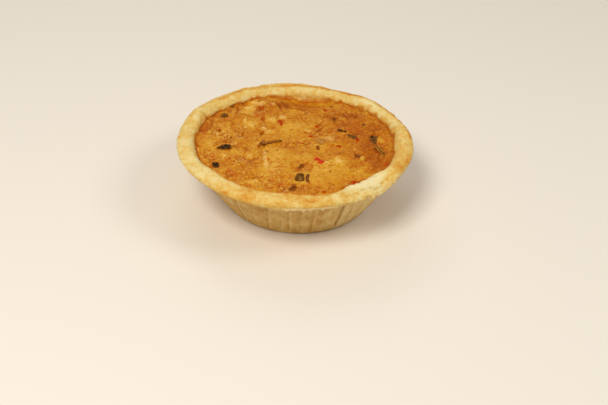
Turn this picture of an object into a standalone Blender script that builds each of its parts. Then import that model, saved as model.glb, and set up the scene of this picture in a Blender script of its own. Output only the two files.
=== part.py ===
"""Crawfish pie: an individual open-faced pie, standing on its own flat underside.

A pastry shell with a thick soft rim and a fluted, flared wall holds a browned filling that
comes up to just under the rim. Flecks of leaf, stalk, pepper and onion are fused to the filling.
Angles are in degrees from +X towards +Y, and the side shown in front faces -Y.
"""

import math
import random

import bmesh
import bpy
from mathutils import Matrix, Vector, noise

MM = 0.001

# The pie's driving sizes.
HEIGHT = 34.8 * MM
RIM_RADIUS = 63.0 * MM
CREST_RADIUS = 57.6 * MM
RIM_WIDEST_HEIGHT = 32.5 * MM
FOOT_RADIUS = 40.0 * MM
FOOT_ROUNDING = 3.2 * MM
WALL_FLARE = 0.65
WALL_TOP = 30.4 * MM
LIP_EDGE_RADIUS = 62.0 * MM
LIP_EDGE_HEIGHT = 31.0 * MM

# The foot stands a little to the right of the rim's middle.
FOOT_SHIFT = 1.9 * MM

# The hollow in the pastry, and the filling that it holds.
HOLLOW_TOP_RADIUS = 53.0 * MM
HOLLOW_TOP_HEIGHT = 30.0 * MM
HOLLOW_FLOOR_RADIUS = 36.5 * MM
FLOOR_THICKNESS = 4.5 * MM
GAP = 0.3 * MM
FILLING_LEVEL = 30.4 * MM
LUMP_HEIGHT, LUMP_LENGTH = 0.45 * MM, 11.0 * MM
CRINKLE_HEIGHT, CRINKLE_LENGTH = 0.3 * MM, 4.5 * MM

# How finely the pieces are turned and divided.
CRUST_STEPS = 144
FILLING_DIVISIONS = 40
WALL_ROWS = 6
RIM_ROWS = 5
HOLLOW_ROWS = 2

# The wall's creases: those in front where they lie, and the rest spaced round by a rule.
FRONT_CREASES = (-127.5, -107.5, -95.0, -87.5, -77.5, -60.0, -45.0)
OTHER_CREASES = 20
CREASE_WANDER = 3.5
CREASE_DEPTH = 0.85 * MM
CREASE_HALF_WIDTH = 2.6
CREASE_SEED = 5
CREASE_START, CREASE_FULL = 0.6 * MM, 6.0 * MM

# Gentle unevenness of a hand-lined rim: waves in a turn, size, angle of a peak.
RADIUS_WAVES = ((2, 0.25 * MM, 70.0), (3, 0.2 * MM, 15.0), (7, 0.22 * MM, 150.0))
CREST_WAVES = (
    (1, 0.7 * MM, -80.0),
    (3, 0.15 * MM, 130.0),
    (10, 0.35 * MM, 48.0),
    (17, 0.12 * MM, 10.0),
)
HOLLOW_WAVES = ((3, 0.3 * MM, 170.0), (8, 0.3 * MM, 20.0), (13, 0.2 * MM, 95.0))
RIM_GRAIN = 0.15 * MM
RIM_GRAIN_LENGTH = 5.0 * MM

# The flattened stretch of rim, front right: angle, half width, how far it comes in and sinks.
FLAT_ANGLE, FLAT_HALF_WIDTH = -50.0, 20.0
FLAT_INWARD, FLAT_SINK = 2.6 * MM, 0.8 * MM

# The trimmed lip hangs lower in front.
LOW_LIP_ANGLE, LOW_LIP_HALF_WIDTH, LOW_LIP_DROP = -84.0, 26.0, 0.9 * MM
LIP_TEAR = 0.45 * MM
LIP_TEAR_LENGTH = 4.0 * MM

# The rim is narrower at the back right, where the hollow reaches further out.
NARROW_ANGLE, NARROW_HALF_WIDTH, NARROW_OUTWARD = 24.0, 50.0, 1.7 * MM

# Broad shapes of the filling's top: x, y, half length, half width, turn, height.
MOUNDS = (
    (-16.0 * MM, 42.0 * MM, 10.5 * MM, 7.0 * MM, -20.0, 1.5 * MM),
    (-30.0 * MM, 33.0 * MM, 9.0 * MM, 7.0 * MM, 40.0, 0.6 * MM),
    (16.0 * MM, 3.0 * MM, 9.0 * MM, 7.0 * MM, 10.0, 0.7 * MM),
    (-6.0 * MM, -16.0 * MM, 15.0 * MM, 10.0 * MM, 0.0, 0.6 * MM),
    (22.0 * MM, -18.0 * MM, 8.0 * MM, 6.0 * MM, 30.0, 0.5 * MM),
    (6.0 * MM, 50.0 * MM, 17.0 * MM, 10.0 * MM, -8.0, -2.8 * MM),
    (38.0 * MM, 25.0 * MM, 20.0 * MM, 9.0 * MM, -55.0, 1.1 * MM),
    (-18.0 * MM, 11.0 * MM, 1.6 * MM, 5.0 * MM, -10.0, -0.7 * MM),
)

# Flecks on the filling: kind, x, y, length, width, turn.
FLECKS = (
    ("flake", -37.2 * MM, -5.2 * MM, 7.4 * MM, 3.6 * MM, 12.0),
    ("flake", -40.7 * MM, -23.3 * MM, 3.2 * MM, 3.6 * MM, 50.0),
    ("ring", 3.5 * MM, -31.5 * MM, 7.4 * MM, 5.8 * MM, 80.0),
    ("stalk", 7.6 * MM, -32.2 * MM, 5.0 * MM, 1.1 * MM, -80.0),
    ("flake", 24.2 * MM, 17.7 * MM, 3.6 * MM, 1.8 * MM, 10.0),
    ("flake", 26.6 * MM, 15.9 * MM, 2.2 * MM, 1.6 * MM, -30.0),
    ("flake", 30.6 * MM, 10.6 * MM, 3.2 * MM, 2.4 * MM, 30.0),
    ("flake", 42.1 * MM, 11.1 * MM, 3.6 * MM, 5.0 * MM, -10.0),
    ("stalk", 44.0 * MM, -1.0 * MM, 10.0 * MM, 1.0 * MM, -62.0),
    ("stalk", 46.2 * MM, -3.2 * MM, 7.0 * MM, 0.9 * MM, -66.0),
    ("flake", -35.5 * MM, 35.9 * MM, 2.8 * MM, 2.0 * MM, 45.0),
    ("flake", -40.1 * MM, 27.7 * MM, 2.8 * MM, 1.6 * MM, 0.0),
    ("stalk", -13.4 * MM, 1.4 * MM, 12.5 * MM, 1.2 * MM, 20.0),
    ("flake", -0.3 * MM, -43.2 * MM, 3.2 * MM, 2.4 * MM, 15.0),
    ("flake", 4.4 * MM, -21.0 * MM, 3.4 * MM, 2.0 * MM, 35.0),
    ("flake", 33.8 * MM, -9.5 * MM, 3.4 * MM, 2.4 * MM, -20.0),
    ("flake", 12.6 * MM, -14.7 * MM, 5.8 * MM, 2.4 * MM, -35.0),
    ("flake", -8.2 * MM, 23.5 * MM, 3.4 * MM, 1.8 * MM, -45.0),
    ("flake", -19.7 * MM, 38.4 * MM, 2.6 * MM, 1.6 * MM, 0.0),
    ("flake", 16.3 * MM, 39.0 * MM, 2.8 * MM, 1.6 * MM, 10.0),
    ("flake", 21.6 * MM, 28.3 * MM, 3.4 * MM, 2.0 * MM, -15.0),
    ("flake", 33.3 * MM, 7.5 * MM, 3.3 * MM, 1.6 * MM, -40.0),
    ("flake", 23.6 * MM, -0.7 * MM, 3.0 * MM, 1.6 * MM, 0.0),
    ("flake", 8.3 * MM, 7.9 * MM, 2.2 * MM, 1.4 * MM, 20.0),
    ("flake", 4.4 * MM, 0.4 * MM, 2.7 * MM, 1.4 * MM, -20.0),
    ("flake", 15.2 * MM, 3.4 * MM, 6.8 * MM, 5.4 * MM, 20.0),
    ("flake", 31.2 * MM, -36.0 * MM, 2.6 * MM, 1.6 * MM, 40.0),
    ("flake", 15.2 * MM, -45.0 * MM, 3.0 * MM, 1.6 * MM, 5.0),
)
FLECK_PROUD = 0.55 * MM
FLECK_SUNK = 0.75 * MM
SMALL_FLECKS = 26
SMALL_FLECK_SIZES = (1.5 * MM, 2.3 * MM)
SMALL_FLECK_REACH = 46.0 * MM
SMALL_FLECK_CLEARANCE = 4.5 * MM
FLECK_SEED = 12

CRUST_COLOUR = (0.74, 0.50, 0.21, 1.0)
FILLING_COLOUR = (0.55, 0.20, 0.035, 1.0)


def clear_scene():
    for obj in list(bpy.data.objects):
        bpy.data.objects.remove(obj)


def plain_material(name, colour, roughness):
    material = bpy.data.materials.new(name)
    material.use_nodes = True
    shader = material.node_tree.nodes["Principled BSDF"]
    shader.inputs["Base Color"].default_value = colour
    shader.inputs["Roughness"].default_value = roughness
    shader.inputs["Metallic"].default_value = 0.0
    return material


def smooth(low, high, value):
    """Rises gently from 0 at low to 1 at high."""
    share = min(max((value - low) / (high - low), 0.0), 1.0)
    return share * share * (3.0 - 2.0 * share)


def turn_between(angle, other):
    """The smallest turn from other to angle, in degrees."""
    return (angle - other + 180.0) % 360.0 - 180.0


def swell(angle, centre, half_width):
    """A rounded swell: 1 at the centre angle, 0 from half_width away."""
    return 1.0 - smooth(0.0, half_width, abs(turn_between(angle, centre)))


def waves(angle, wave_list):
    return sum(
        size * math.cos(math.radians(count * (angle - peak)))
        for count, size, peak in wave_list
    )


def flat_stretch(angle):
    """The front-right stretch where the rim was pressed flat and wide, with a sudden right end."""
    turn = turn_between(angle, FLAT_ANGLE)
    left = smooth(-FLAT_HALF_WIDTH, -0.4 * FLAT_HALF_WIDTH, turn)
    right = 1.0 - smooth(0.6 * FLAT_HALF_WIDTH, FLAT_HALF_WIDTH, turn)
    return left * right


def crease_angles():
    """All the wall's creases in order, from the first one in front right round to it."""
    rng = random.Random(CREASE_SEED)
    start = FRONT_CREASES[-1]
    span = 360.0 + FRONT_CREASES[0] - start
    pitch = span / (OTHER_CREASES + 1)
    step = 360.0 / CRUST_STEPS
    others = [
        start + pitch * (i + 1) + rng.uniform(-CREASE_WANDER, CREASE_WANDER)
        for i in range(OTHER_CREASES)
    ]
    return list(FRONT_CREASES) + [step * round(angle / step) for angle in others]


def flute(angle, creases):
    """How far the wall is let in at an angle: wholly at a crease, and hardly on a panel's belly."""
    nearest = min(abs(turn_between(angle, crease)) for crease in creases)
    edge = smooth(0.0, CREASE_HALF_WIDTH, nearest)
    belly = smooth(CREASE_HALF_WIDTH, 3.0 * CREASE_HALF_WIDTH, nearest)
    return CREASE_DEPTH * (0.75 * edge + 0.25 * belly - 1.0)


def wall_radius(height):
    return FOOT_RADIUS + WALL_FLARE * height


def hollow_radius(height):
    """Radius of the plain hollow at a height."""
    share = (height - FLOOR_THICKNESS) / (HOLLOW_TOP_HEIGHT - FLOOR_THICKNESS)
    return HOLLOW_FLOOR_RADIUS + share * (HOLLOW_TOP_RADIUS - HOLLOW_FLOOR_RADIUS)


def hollow_shift(angle, height):
    """How far the hollow's wall moves out at an angle, fading to nothing low down."""
    shift = waves(angle, HOLLOW_WAVES) - FLAT_INWARD * flat_stretch(angle)
    shift += NARROW_OUTWARD * swell(angle, NARROW_ANGLE, NARROW_HALF_WIDTH)
    return shift * smooth(0.4 * HOLLOW_TOP_HEIGHT, HOLLOW_TOP_HEIGHT, height)


def foot_points():
    """The rounded edge between the flat underside and the wall."""
    lean = math.atan(WALL_FLARE)
    bend = math.pi / 2 - lean
    reach = FOOT_ROUNDING * math.tan(bend / 2)
    steps = 3
    middle = Vector((FOOT_RADIUS - reach, FOOT_ROUNDING))
    return [
        middle + FOOT_ROUNDING * Vector((math.sin(bend * i / steps), -math.cos(bend * i / steps)))
        for i in range(steps + 1)
    ]


def wall_points(first_height):
    rows = [first_height + (WALL_TOP - first_height) * i / WALL_ROWS for i in range(1, WALL_ROWS + 1)]
    return [Vector((wall_radius(height), height)) for height in rows]


def rim_points():
    """The lip's edge, then a half round over the crest and down to the top of the hollow."""
    points = [Vector((LIP_EDGE_RADIUS, LIP_EDGE_HEIGHT))]
    outer = (RIM_RADIUS - CREST_RADIUS, HEIGHT - RIM_WIDEST_HEIGHT)
    inner = (CREST_RADIUS - HOLLOW_TOP_RADIUS, HEIGHT - HOLLOW_TOP_HEIGHT)
    for i in range(RIM_ROWS + 1):
        turn = math.pi / 2 * i / RIM_ROWS
        rise = outer[1] * math.sin(turn)
        points.append(Vector((CREST_RADIUS + outer[0] * math.cos(turn), RIM_WIDEST_HEIGHT + rise)))
    for i in range(1, RIM_ROWS + 1):
        turn = math.pi / 2 * i / RIM_ROWS
        drop = inner[1] * (1.0 - math.cos(turn))
        points.append(Vector((CREST_RADIUS - inner[0] * math.sin(turn), HEIGHT - drop)))
    return points


def hollow_points(gap):
    """The hollow's wall from its top to the floor, then the middle of the floor."""
    floor = FLOOR_THICKNESS + gap
    drop = HOLLOW_TOP_HEIGHT - floor
    rows = [HOLLOW_TOP_HEIGHT - drop * i / HOLLOW_ROWS for i in range(1, HOLLOW_ROWS + 1)]
    points = [Vector((hollow_radius(height) - gap, height)) for height in rows]
    return points + [Vector((0.0, floor))]


def turned(profile, steps):
    """A closed body turned round Z from a half section of (radius, height) points."""
    body = bmesh.new()
    ring = [body.verts.new((point.x, 0.0, point.y)) for point in profile]
    edges = [body.edges.new(pair) for pair in zip(ring, ring[1:])]
    bmesh.ops.spin(
        body,
        geom=ring + edges,
        cent=(0.0, 0.0, 0.0),
        axis=(0.0, 0.0, 1.0),
        angle=2.0 * math.pi,
        steps=steps,
        use_merge=True,
    )
    bmesh.ops.remove_doubles(body, verts=body.verts, dist=0.001 * MM)
    bmesh.ops.recalc_face_normals(body, faces=body.faces)
    return body


def placed(body, name, material):
    mesh = bpy.data.meshes.new(name)
    body.to_mesh(mesh)
    body.free()
    mesh.materials.append(material)
    mesh.shade_smooth()
    mesh.set_sharp_from_angle(angle=math.radians(50.0))
    obj = bpy.data.objects.new(name, mesh)
    bpy.context.scene.collection.objects.link(obj)
    return obj


def rim_place(radius, height, angle):
    """Where a point of the plain rim goes: wider or narrower, higher or lower, as a hand left it."""
    outside = smooth(CREST_RADIUS, RIM_RADIUS, radius)
    raised = smooth(HOLLOW_TOP_HEIGHT, HEIGHT, height)
    along = math.radians(angle) * CREST_RADIUS
    grain = noise.noise(Vector((radius, along, height)) / RIM_GRAIN_LENGTH)
    out = waves(angle, RADIUS_WAVES) * outside + hollow_shift(angle, height) * (1.0 - outside)
    up = waves(angle, CREST_WAVES) - FLAT_SINK * flat_stretch(angle) + RIM_GRAIN * grain
    return radius + out + RIM_GRAIN * grain * outside, height + up * raised


def lip_drop(angle):
    return LOW_LIP_DROP * swell(angle, LOW_LIP_ANGLE, LOW_LIP_HALF_WIDTH)


def lip_place(radius, height, angle):
    """The trimmed lip under the rim: ragged, and hanging lower in front."""
    along = math.radians(angle) * LIP_EDGE_RADIUS
    tear = LIP_TEAR * noise.noise(Vector((along / LIP_TEAR_LENGTH, 3.7, 0.0)))
    return radius + waves(angle, RADIUS_WAVES) + tear, height - lip_drop(angle) + tear


def crust_place(radius, height, angle, creases):
    """Where a point of the plain turned crust goes."""
    middle = 0.5 * (wall_radius(height) + hollow_radius(height))
    if height > HOLLOW_TOP_HEIGHT - 0.1 * MM:
        return rim_place(radius, height, angle)
    if radius < middle:
        return radius + hollow_shift(angle, height), height
    if height > WALL_TOP + 0.1 * MM:
        return lip_place(radius, height, angle)
    strength = smooth(CREASE_START, CREASE_FULL, height)
    top = smooth(0.8 * WALL_TOP, WALL_TOP, height)
    radius += flute(angle, creases) * strength + waves(angle, RADIUS_WAVES) * top
    return radius, height - lip_drop(angle) * top


def foot_shift(radius, height):
    """How far to the right a point of the foot or the wall stands: less higher up."""
    if height > WALL_TOP + GAP:
        return 0.0
    outside = smooth(hollow_radius(height), wall_radius(height), radius)
    return FOOT_SHIFT * outside * (1.0 - 0.5 * smooth(0.0, WALL_TOP, height))


def make_crust():
    foot = foot_points()
    profile = [Vector((0.0, 0.0))] + foot + wall_points(foot[-1].y) + rim_points()
    body = turned(profile + hollow_points(0.0), CRUST_STEPS)
    creases = crease_angles()
    for vert in body.verts:
        radius = math.hypot(vert.co.x, vert.co.y)
        if radius < HOLLOW_FLOOR_RADIUS + 0.1 * MM:
            continue
        angle = math.degrees(math.atan2(vert.co.y, vert.co.x))
        new_radius, new_height = crust_place(radius, vert.co.z, angle, creases)
        stretch = new_radius / radius
        across = foot_shift(radius, vert.co.z)
        vert.co = (vert.co.x * stretch + across, vert.co.y * stretch, new_height)
    return placed(body, "crust", plain_material("baked_pastry", CRUST_COLOUR, 0.6))


def mound(x, y, shape):
    """Height of one rounded mound, or hollow where its height is below 0."""
    centre_x, centre_y, half_length, half_width, turn, height = shape
    away = Matrix.Rotation(math.radians(-turn), 2) @ Vector((x - centre_x, y - centre_y))
    distance = math.hypot(away.x / half_length, away.y / half_width)
    return height * (1.0 - smooth(0.0, 1.4, distance))


def filling_height(x, y):
    """Height of the filling's top: mounds and sunk places, lumps, and a crinkled skin."""
    place = Vector((x, y, 0.0))
    lumps = LUMP_HEIGHT * noise.noise(place / LUMP_LENGTH)
    crinkles = CRINKLE_HEIGHT * noise.noise(place / CRINKLE_LENGTH + Vector((7.0, 2.0, 0.0)))
    return FILLING_LEVEL + lumps + crinkles + sum(mound(x, y, shape) for shape in MOUNDS)


def round_sheet(radius, height, divisions):
    """A flat round sheet, divided evenly by rounding off a square grid."""
    body = bmesh.new()
    bmesh.ops.create_grid(body, x_segments=divisions, y_segments=divisions, size=1.0)
    for vert in body.verts:
        x, y = vert.co.x, vert.co.y
        round_x = x * math.sqrt(1.0 - y * y / 2.0)
        round_y = y * math.sqrt(1.0 - x * x / 2.0)
        vert.co = (radius * round_x, radius * round_y, height)
    return body


def pulled_down(body, profile):
    """Extrudes a sheet's edge down through rings of (radius, height), and closes the last."""
    edge = [e for e in body.edges if e.is_boundary]
    for point in profile:
        made = bmesh.ops.extrude_edge_only(body, edges=edge)["geom"]
        edge = [item for item in made if isinstance(item, bmesh.types.BMEdge)]
        for vert in (item for item in made if isinstance(item, bmesh.types.BMVert)):
            stretch = point.x / math.hypot(vert.co.x, vert.co.y)
            vert.co = (vert.co.x * stretch, vert.co.y * stretch, point.y)
    bmesh.ops.contextual_create(body, geom=edge)
    bmesh.ops.recalc_face_normals(body, faces=body.faces)


def filling_edge_shift(angle):
    """How far the filling's top edge moves at an angle: inwards where it sinks in the hollow."""
    plain = HOLLOW_TOP_RADIUS - GAP
    edge = plain + hollow_shift(angle, HOLLOW_TOP_HEIGHT)
    turn = math.radians(angle)
    height = min(filling_height(edge * math.cos(turn), edge * math.sin(turn)), HOLLOW_TOP_HEIGHT)
    return hollow_radius(height) + hollow_shift(angle, height) - GAP - plain


def make_filling():
    edge_radius = HOLLOW_TOP_RADIUS - GAP
    body = round_sheet(edge_radius, HOLLOW_TOP_HEIGHT, FILLING_DIVISIONS)
    pulled_down(body, hollow_points(GAP)[:-1])
    for vert in body.verts:
        radius = max(math.hypot(vert.co.x, vert.co.y), GAP)
        angle = math.degrees(math.atan2(vert.co.y, vert.co.x))
        on_top = vert.co.z > HOLLOW_TOP_HEIGHT - GAP
        if on_top:
            shift = filling_edge_shift(angle) * smooth(0.5 * edge_radius, edge_radius, radius)
        else:
            shift = hollow_shift(angle, vert.co.z)
        x, y = vert.co.x * (1.0 + shift / radius), vert.co.y * (1.0 + shift / radius)
        vert.co = (x, y, filling_height(x, y) if on_top else vert.co.z)
    return placed(body, "filling", plain_material("browned_filling", FILLING_COLOUR, 0.42))


def fleck_transform(x, y, turn):
    """Lays a fleck on the filling's top, tipped with the surface there."""
    step = 1.5 * MM
    slope_x = (filling_height(x + step, y) - filling_height(x - step, y)) / (2 * step)
    slope_y = (filling_height(x, y + step) - filling_height(x, y - step)) / (2 * step)
    up = Vector((-slope_x, -slope_y, 1.0)).normalized()
    tip = Vector((0.0, 0.0, 1.0)).rotation_difference(up).to_matrix().to_4x4()
    spin = Matrix.Rotation(math.radians(turn), 4, "Z")
    return Matrix.Translation((x, y, filling_height(x, y))) @ tip @ spin


def flake(length, width):
    """A flat scrap with a narrower top, sunk by more than it stands proud."""
    body = bmesh.new()
    depth = FLECK_PROUD + FLECK_SUNK
    bmesh.ops.create_cone(
        body, cap_ends=True, segments=7, radius1=0.55, radius2=0.42, depth=depth
    )
    bmesh.ops.scale(body, vec=(length, width, 1.0), verts=body.verts)
    bmesh.ops.translate(body, vec=(0.0, 0.0, (FLECK_PROUD - FLECK_SUNK) / 2), verts=body.verts)
    return body


def stalk(length, width):
    """A short round stalk that lies along the surface, half sunk."""
    body = bmesh.new()
    bmesh.ops.create_cone(
        body, cap_ends=True, segments=6, radius1=0.6 * width, radius2=0.5 * width, depth=length
    )
    bmesh.ops.rotate(body, matrix=Matrix.Rotation(math.pi / 2, 3, "Y"), verts=body.verts)
    return body


def onion_ring(length, width):
    """A small ring of onion green, half sunk."""
    body = bmesh.new()
    thick = 0.8 * MM
    section = bmesh.ops.create_circle(body, segments=5, radius=thick)["verts"]
    stand = Matrix.Rotation(math.pi / 2, 3, "X")
    bmesh.ops.rotate(body, matrix=stand, verts=section)
    bmesh.ops.translate(body, vec=(length / 2 - thick, 0.0, 0.0), verts=section)
    bmesh.ops.spin(
        body,
        geom=list(body.verts) + list(body.edges),
        cent=(0.0, 0.0, 0.0),
        axis=(0.0, 0.0, 1.0),
        angle=2.0 * math.pi,
        steps=12,
        use_merge=True,
    )
    bmesh.ops.scale(body, vec=(1.0, width / length, 1.0), verts=body.verts)
    bmesh.ops.recalc_face_normals(body, faces=body.faces)
    return body


FLECK_MAKERS = {"flake": flake, "stalk": stalk, "ring": onion_ring}


def small_flecks():
    """Small scraps scattered over the filling, clear of the large ones and of each other."""
    rng = random.Random(FLECK_SEED)
    taken = [(x, y) for _, x, y, _, _, _ in FLECKS]
    made = []
    while len(made) < SMALL_FLECKS:
        x = rng.uniform(-SMALL_FLECK_REACH, SMALL_FLECK_REACH)
        y = rng.uniform(-SMALL_FLECK_REACH, SMALL_FLECK_REACH)
        size = rng.uniform(*SMALL_FLECK_SIZES)
        turn = rng.uniform(0.0, 180.0)
        clear = all(math.dist((x, y), other) > SMALL_FLECK_CLEARANCE for other in taken)
        if clear and math.hypot(x, y) < SMALL_FLECK_REACH:
            taken.append((x, y))
            made.append(("flake", x, y, size, 0.6 * size, turn))
    return made


def fuse_flecks(filling):
    """Joins every fleck to the filling in one union, then removes the loose ones."""
    collection = bpy.data.collections.new("flecks")
    bpy.context.scene.collection.children.link(collection)
    for i, (kind, x, y, length, width, turn) in enumerate(list(FLECKS) + small_flecks()):
        body = FLECK_MAKERS[kind](length, width)
        bmesh.ops.transform(body, matrix=fleck_transform(x, y, turn), verts=body.verts)
        mesh = bpy.data.meshes.new(f"fleck_{i:02d}")
        body.to_mesh(mesh)
        body.free()
        collection.objects.link(bpy.data.objects.new(mesh.name, mesh))
    union = filling.modifiers.new("flecks", "BOOLEAN")
    union.operation = "UNION"
    union.operand_type = "COLLECTION"
    union.solver = "EXACT"
    union.collection = collection
    bpy.context.view_layer.update()
    graph = bpy.context.evaluated_depsgraph_get()
    fused = bpy.data.meshes.new_from_object(filling.evaluated_get(graph))
    filling.modifiers.clear()
    filling.data = fused
    filling.data.name = "filling"
    for obj in list(collection.objects):
        bpy.data.objects.remove(obj)
    bpy.data.collections.remove(collection)


def centre_on_origin(objects):
    """Moves the pie so that the middle of its outline stands over the origin."""
    corners = [vert.co for obj in objects for vert in obj.data.vertices]
    middle_x = (min(co.x for co in corners) + max(co.x for co in corners)) / 2
    middle_y = (min(co.y for co in corners) + max(co.y for co in corners)) / 2
    for obj in objects:
        obj.data.transform(Matrix.Translation((-middle_x, -middle_y, 0.0)))


def main():
    clear_scene()
    crust = make_crust()
    filling = make_filling()
    fuse_flecks(filling)
    centre_on_origin([crust, filling])


main()
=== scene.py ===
# %% [markdown]
# # An open-faced crawfish pie
# The pie is two things: a pastry shell with a thick soft rim and a fluted wall, and a browned
# filling full of small bits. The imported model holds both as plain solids. This script makes the
# surfaces that an eye stops at: grain, creases, a torn lip, a crinkled skin and every fleck.
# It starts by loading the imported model, which is never changed, and notes how large it is.

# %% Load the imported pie
import math
import random

import bmesh
import bpy
from mathutils import Matrix, Vector, noise


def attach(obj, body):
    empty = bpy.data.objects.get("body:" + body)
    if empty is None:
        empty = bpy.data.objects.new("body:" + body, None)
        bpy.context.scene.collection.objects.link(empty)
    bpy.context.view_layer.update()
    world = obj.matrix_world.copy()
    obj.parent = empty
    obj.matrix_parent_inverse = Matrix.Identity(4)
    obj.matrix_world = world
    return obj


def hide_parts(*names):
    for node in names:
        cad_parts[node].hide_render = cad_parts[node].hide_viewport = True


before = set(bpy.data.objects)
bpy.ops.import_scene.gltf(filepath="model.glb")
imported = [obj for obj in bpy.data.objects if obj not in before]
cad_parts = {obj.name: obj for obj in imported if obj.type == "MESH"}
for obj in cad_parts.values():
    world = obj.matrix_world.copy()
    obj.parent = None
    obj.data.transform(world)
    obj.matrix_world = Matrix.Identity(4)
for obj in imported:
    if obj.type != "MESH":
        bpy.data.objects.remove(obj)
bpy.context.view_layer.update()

# %% [markdown]
# ## Sizes
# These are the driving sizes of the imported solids, written down again, because a finer surface
# only fits if it follows the same form. Angles are in degrees from +X towards +Y, so the side
# shown in front is at -90.

# %% Sizes of the shell and the filling
MM = 0.001

HEIGHT = 34.8 * MM
RIM_RADIUS = 63.0 * MM
CREST_RADIUS = 57.6 * MM
RIM_WIDEST_HEIGHT = 32.5 * MM
FOOT_RADIUS = 40.0 * MM
FOOT_ROUNDING = 3.2 * MM
FOOT_SHIFT = 1.9 * MM
WALL_FLARE = 0.65
WALL_TOP = 30.4 * MM
LIP_EDGE_RADIUS = 62.0 * MM
LIP_EDGE_HEIGHT = 31.0 * MM
HOLLOW_TOP_RADIUS = 53.0 * MM
HOLLOW_TOP_HEIGHT = 30.0 * MM
HOLLOW_FLOOR_RADIUS = 36.5 * MM
FLOOR_THICKNESS = 4.5 * MM
GAP = 0.3 * MM
FILLING_LEVEL = 30.4 * MM

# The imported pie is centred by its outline, which moves all of it by this much.
CENTRING = (-0.266 * MM, 0.051 * MM, 0.0)
print("rim across, mm:", round(2.0 * RIM_RADIUS / MM))

# %% [markdown]
# ## Small tools for shapes
# A hand-made form is a plain form plus swells, waves and grain. Each of these is one short
# function, so every later shape can be written as a sum that reads like a description.
# Some of Blender's noise starts from a random state, so it is given a fixed seed first.

# %% Swells, waves and grain
NOISE_SEED = 3
noise.seed_set(NOISE_SEED)


def smooth(low, high, value):
    """Rises gently from 0 at low to 1 at high."""
    share = min(max((value - low) / (high - low), 0.0), 1.0)
    return share * share * (3.0 - 2.0 * share)


def fade(reach, distance):
    """1 at no distance, falling gently to 0 at reach."""
    return 1.0 - smooth(0.0, reach, distance)


def turn_between(angle, other):
    """The smallest turn from other to angle, in degrees."""
    return (angle - other + 180.0) % 360.0 - 180.0


def swell(angle, centre, half_width):
    """A rounded swell: 1 at the centre angle, 0 from half_width away."""
    return fade(half_width, abs(turn_between(angle, centre)))


def swells(angle, table):
    """Sum of swells, each given as its centre, half width and amount."""
    return sum(amount * swell(angle, centre, half) for centre, half, amount in table)


def waves(angle, table):
    """Sum of waves round the pie, each given as how many there are, their size and a peak."""
    return sum(size * math.cos(math.radians(count * (angle - peak))) for count, size, peak in table)


def grain(place, size, seed=0.0):
    """Smooth noise from about -1 to 1, in lumps of the given size."""
    return noise.noise(place / size + Vector((seed, 1.7 * seed, 0.6 * seed)))


def grains(place, layers):
    """Sum of grains, each given as its height and its size in mm, and its seed."""
    return sum(high * MM * grain(place, size * MM, seed) for high, size, seed in layers)


def ripple(along, row, up=0.0):
    """Smooth noise along a line. Each row is another line."""
    return noise.noise(Vector((along, row, up)))


print("a swell at 0, 5 and 10 degrees:", [round(swell(a, 0.0, 10.0), 2) for a in (0, 5, 10)])

# %% [markdown]
# ## Places round the middle, and patches
# The pie is round, so places are often given by a radius and an angle. Patches are soft ovals on
# the filling: they stand for mounds and cracks, and later for colour. Each is full in its middle
# and fades out past its edge, and a table of them is summed at every place.

# %% Places and patches
PATCH_FADE = 1.4


def angle_at(x, y):
    return math.degrees(math.atan2(y, x))


def round_middle(radius, angle, height=0.0):
    """The place at a radius and an angle round the pie's middle."""
    turn = math.radians(angle)
    return Vector((radius * math.cos(turn), radius * math.sin(turn), height))


def laid_out(shapes):
    """Works out once how (x, y, half length, half width, turn, amount) patches lie, in mm."""
    made = []
    for x, y, half_length, half_width, turn, amount in shapes:
        angle = math.radians(turn)
        reach = PATCH_FADE * max(half_length, half_width)
        made.append((x, y, half_length, half_width, math.cos(angle), math.sin(angle), reach, amount))
    return made


def patch_sum(x, y, patches):
    """Sum of the patches at a place, given in metres."""
    x, y, total = x / MM, y / MM, 0.0
    for centre_x, centre_y, half_length, half_width, cosine, sine, reach, amount in patches:
        east, north = x - centre_x, y - centre_y
        if abs(east) < reach and abs(north) < reach:
            along = (east * cosine + north * sine) / half_length
            across = (north * cosine - east * sine) / half_width
            total += amount * fade(PATCH_FADE, math.hypot(along, across))
    return total


print("front of the rim:", round_middle(RIM_RADIUS, -90.0))

# %% [markdown]
# ## The form of the rim
# The rim was pressed by hand, so its radius and its crest wander by fractions of a millimetre.
# At the front right it was pressed flat and wide, and at the back a fold makes it thicker.

# %% The rim's form
RADIUS_WAVES = ((2, 0.25 * MM, 70.0), (3, 0.2 * MM, 15.0), (7, 0.22 * MM, 150.0))
CREST_WAVES = (
    (1, 0.7 * MM, -80.0), (3, 0.15 * MM, 130.0), (10, 0.35 * MM, 48.0), (17, 0.12 * MM, 10.0)
)
FLAT_ANGLE, FLAT_HALF_WIDTH, FLAT_SINK = -50.0, 20.0, 0.8 * MM
LOW_LIP_ANGLE, LOW_LIP_HALF_WIDTH, LOW_LIP_DROP = -84.0, 26.0, 0.6 * MM
STEP_ANGLE, STEP_END, STEP_SIZE = 111.0, 70.0, 0.7 * MM


def flat_stretch(angle):
    """The front-right stretch where the rim was pressed flat and wide, with a sudden right end."""
    turn = turn_between(angle, FLAT_ANGLE)
    left = smooth(-FLAT_HALF_WIDTH, -0.4 * FLAT_HALF_WIDTH, turn)
    right = 1.0 - smooth(0.6 * FLAT_HALF_WIDTH, FLAT_HALF_WIDTH, turn)
    return left * right


def thicker(angle):
    """A fold at the back where the rim is suddenly thicker, and thins out to the right."""
    rise = smooth(STEP_END, STEP_ANGLE - 4.0, angle)
    return rise * (1.0 - smooth(STEP_ANGLE - 2.0, STEP_ANGLE, angle))


def lip_drop(angle):
    """How far the cut lip hangs lower, in front."""
    return LOW_LIP_DROP * swell(angle, LOW_LIP_ANGLE, LOW_LIP_HALF_WIDTH)


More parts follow.
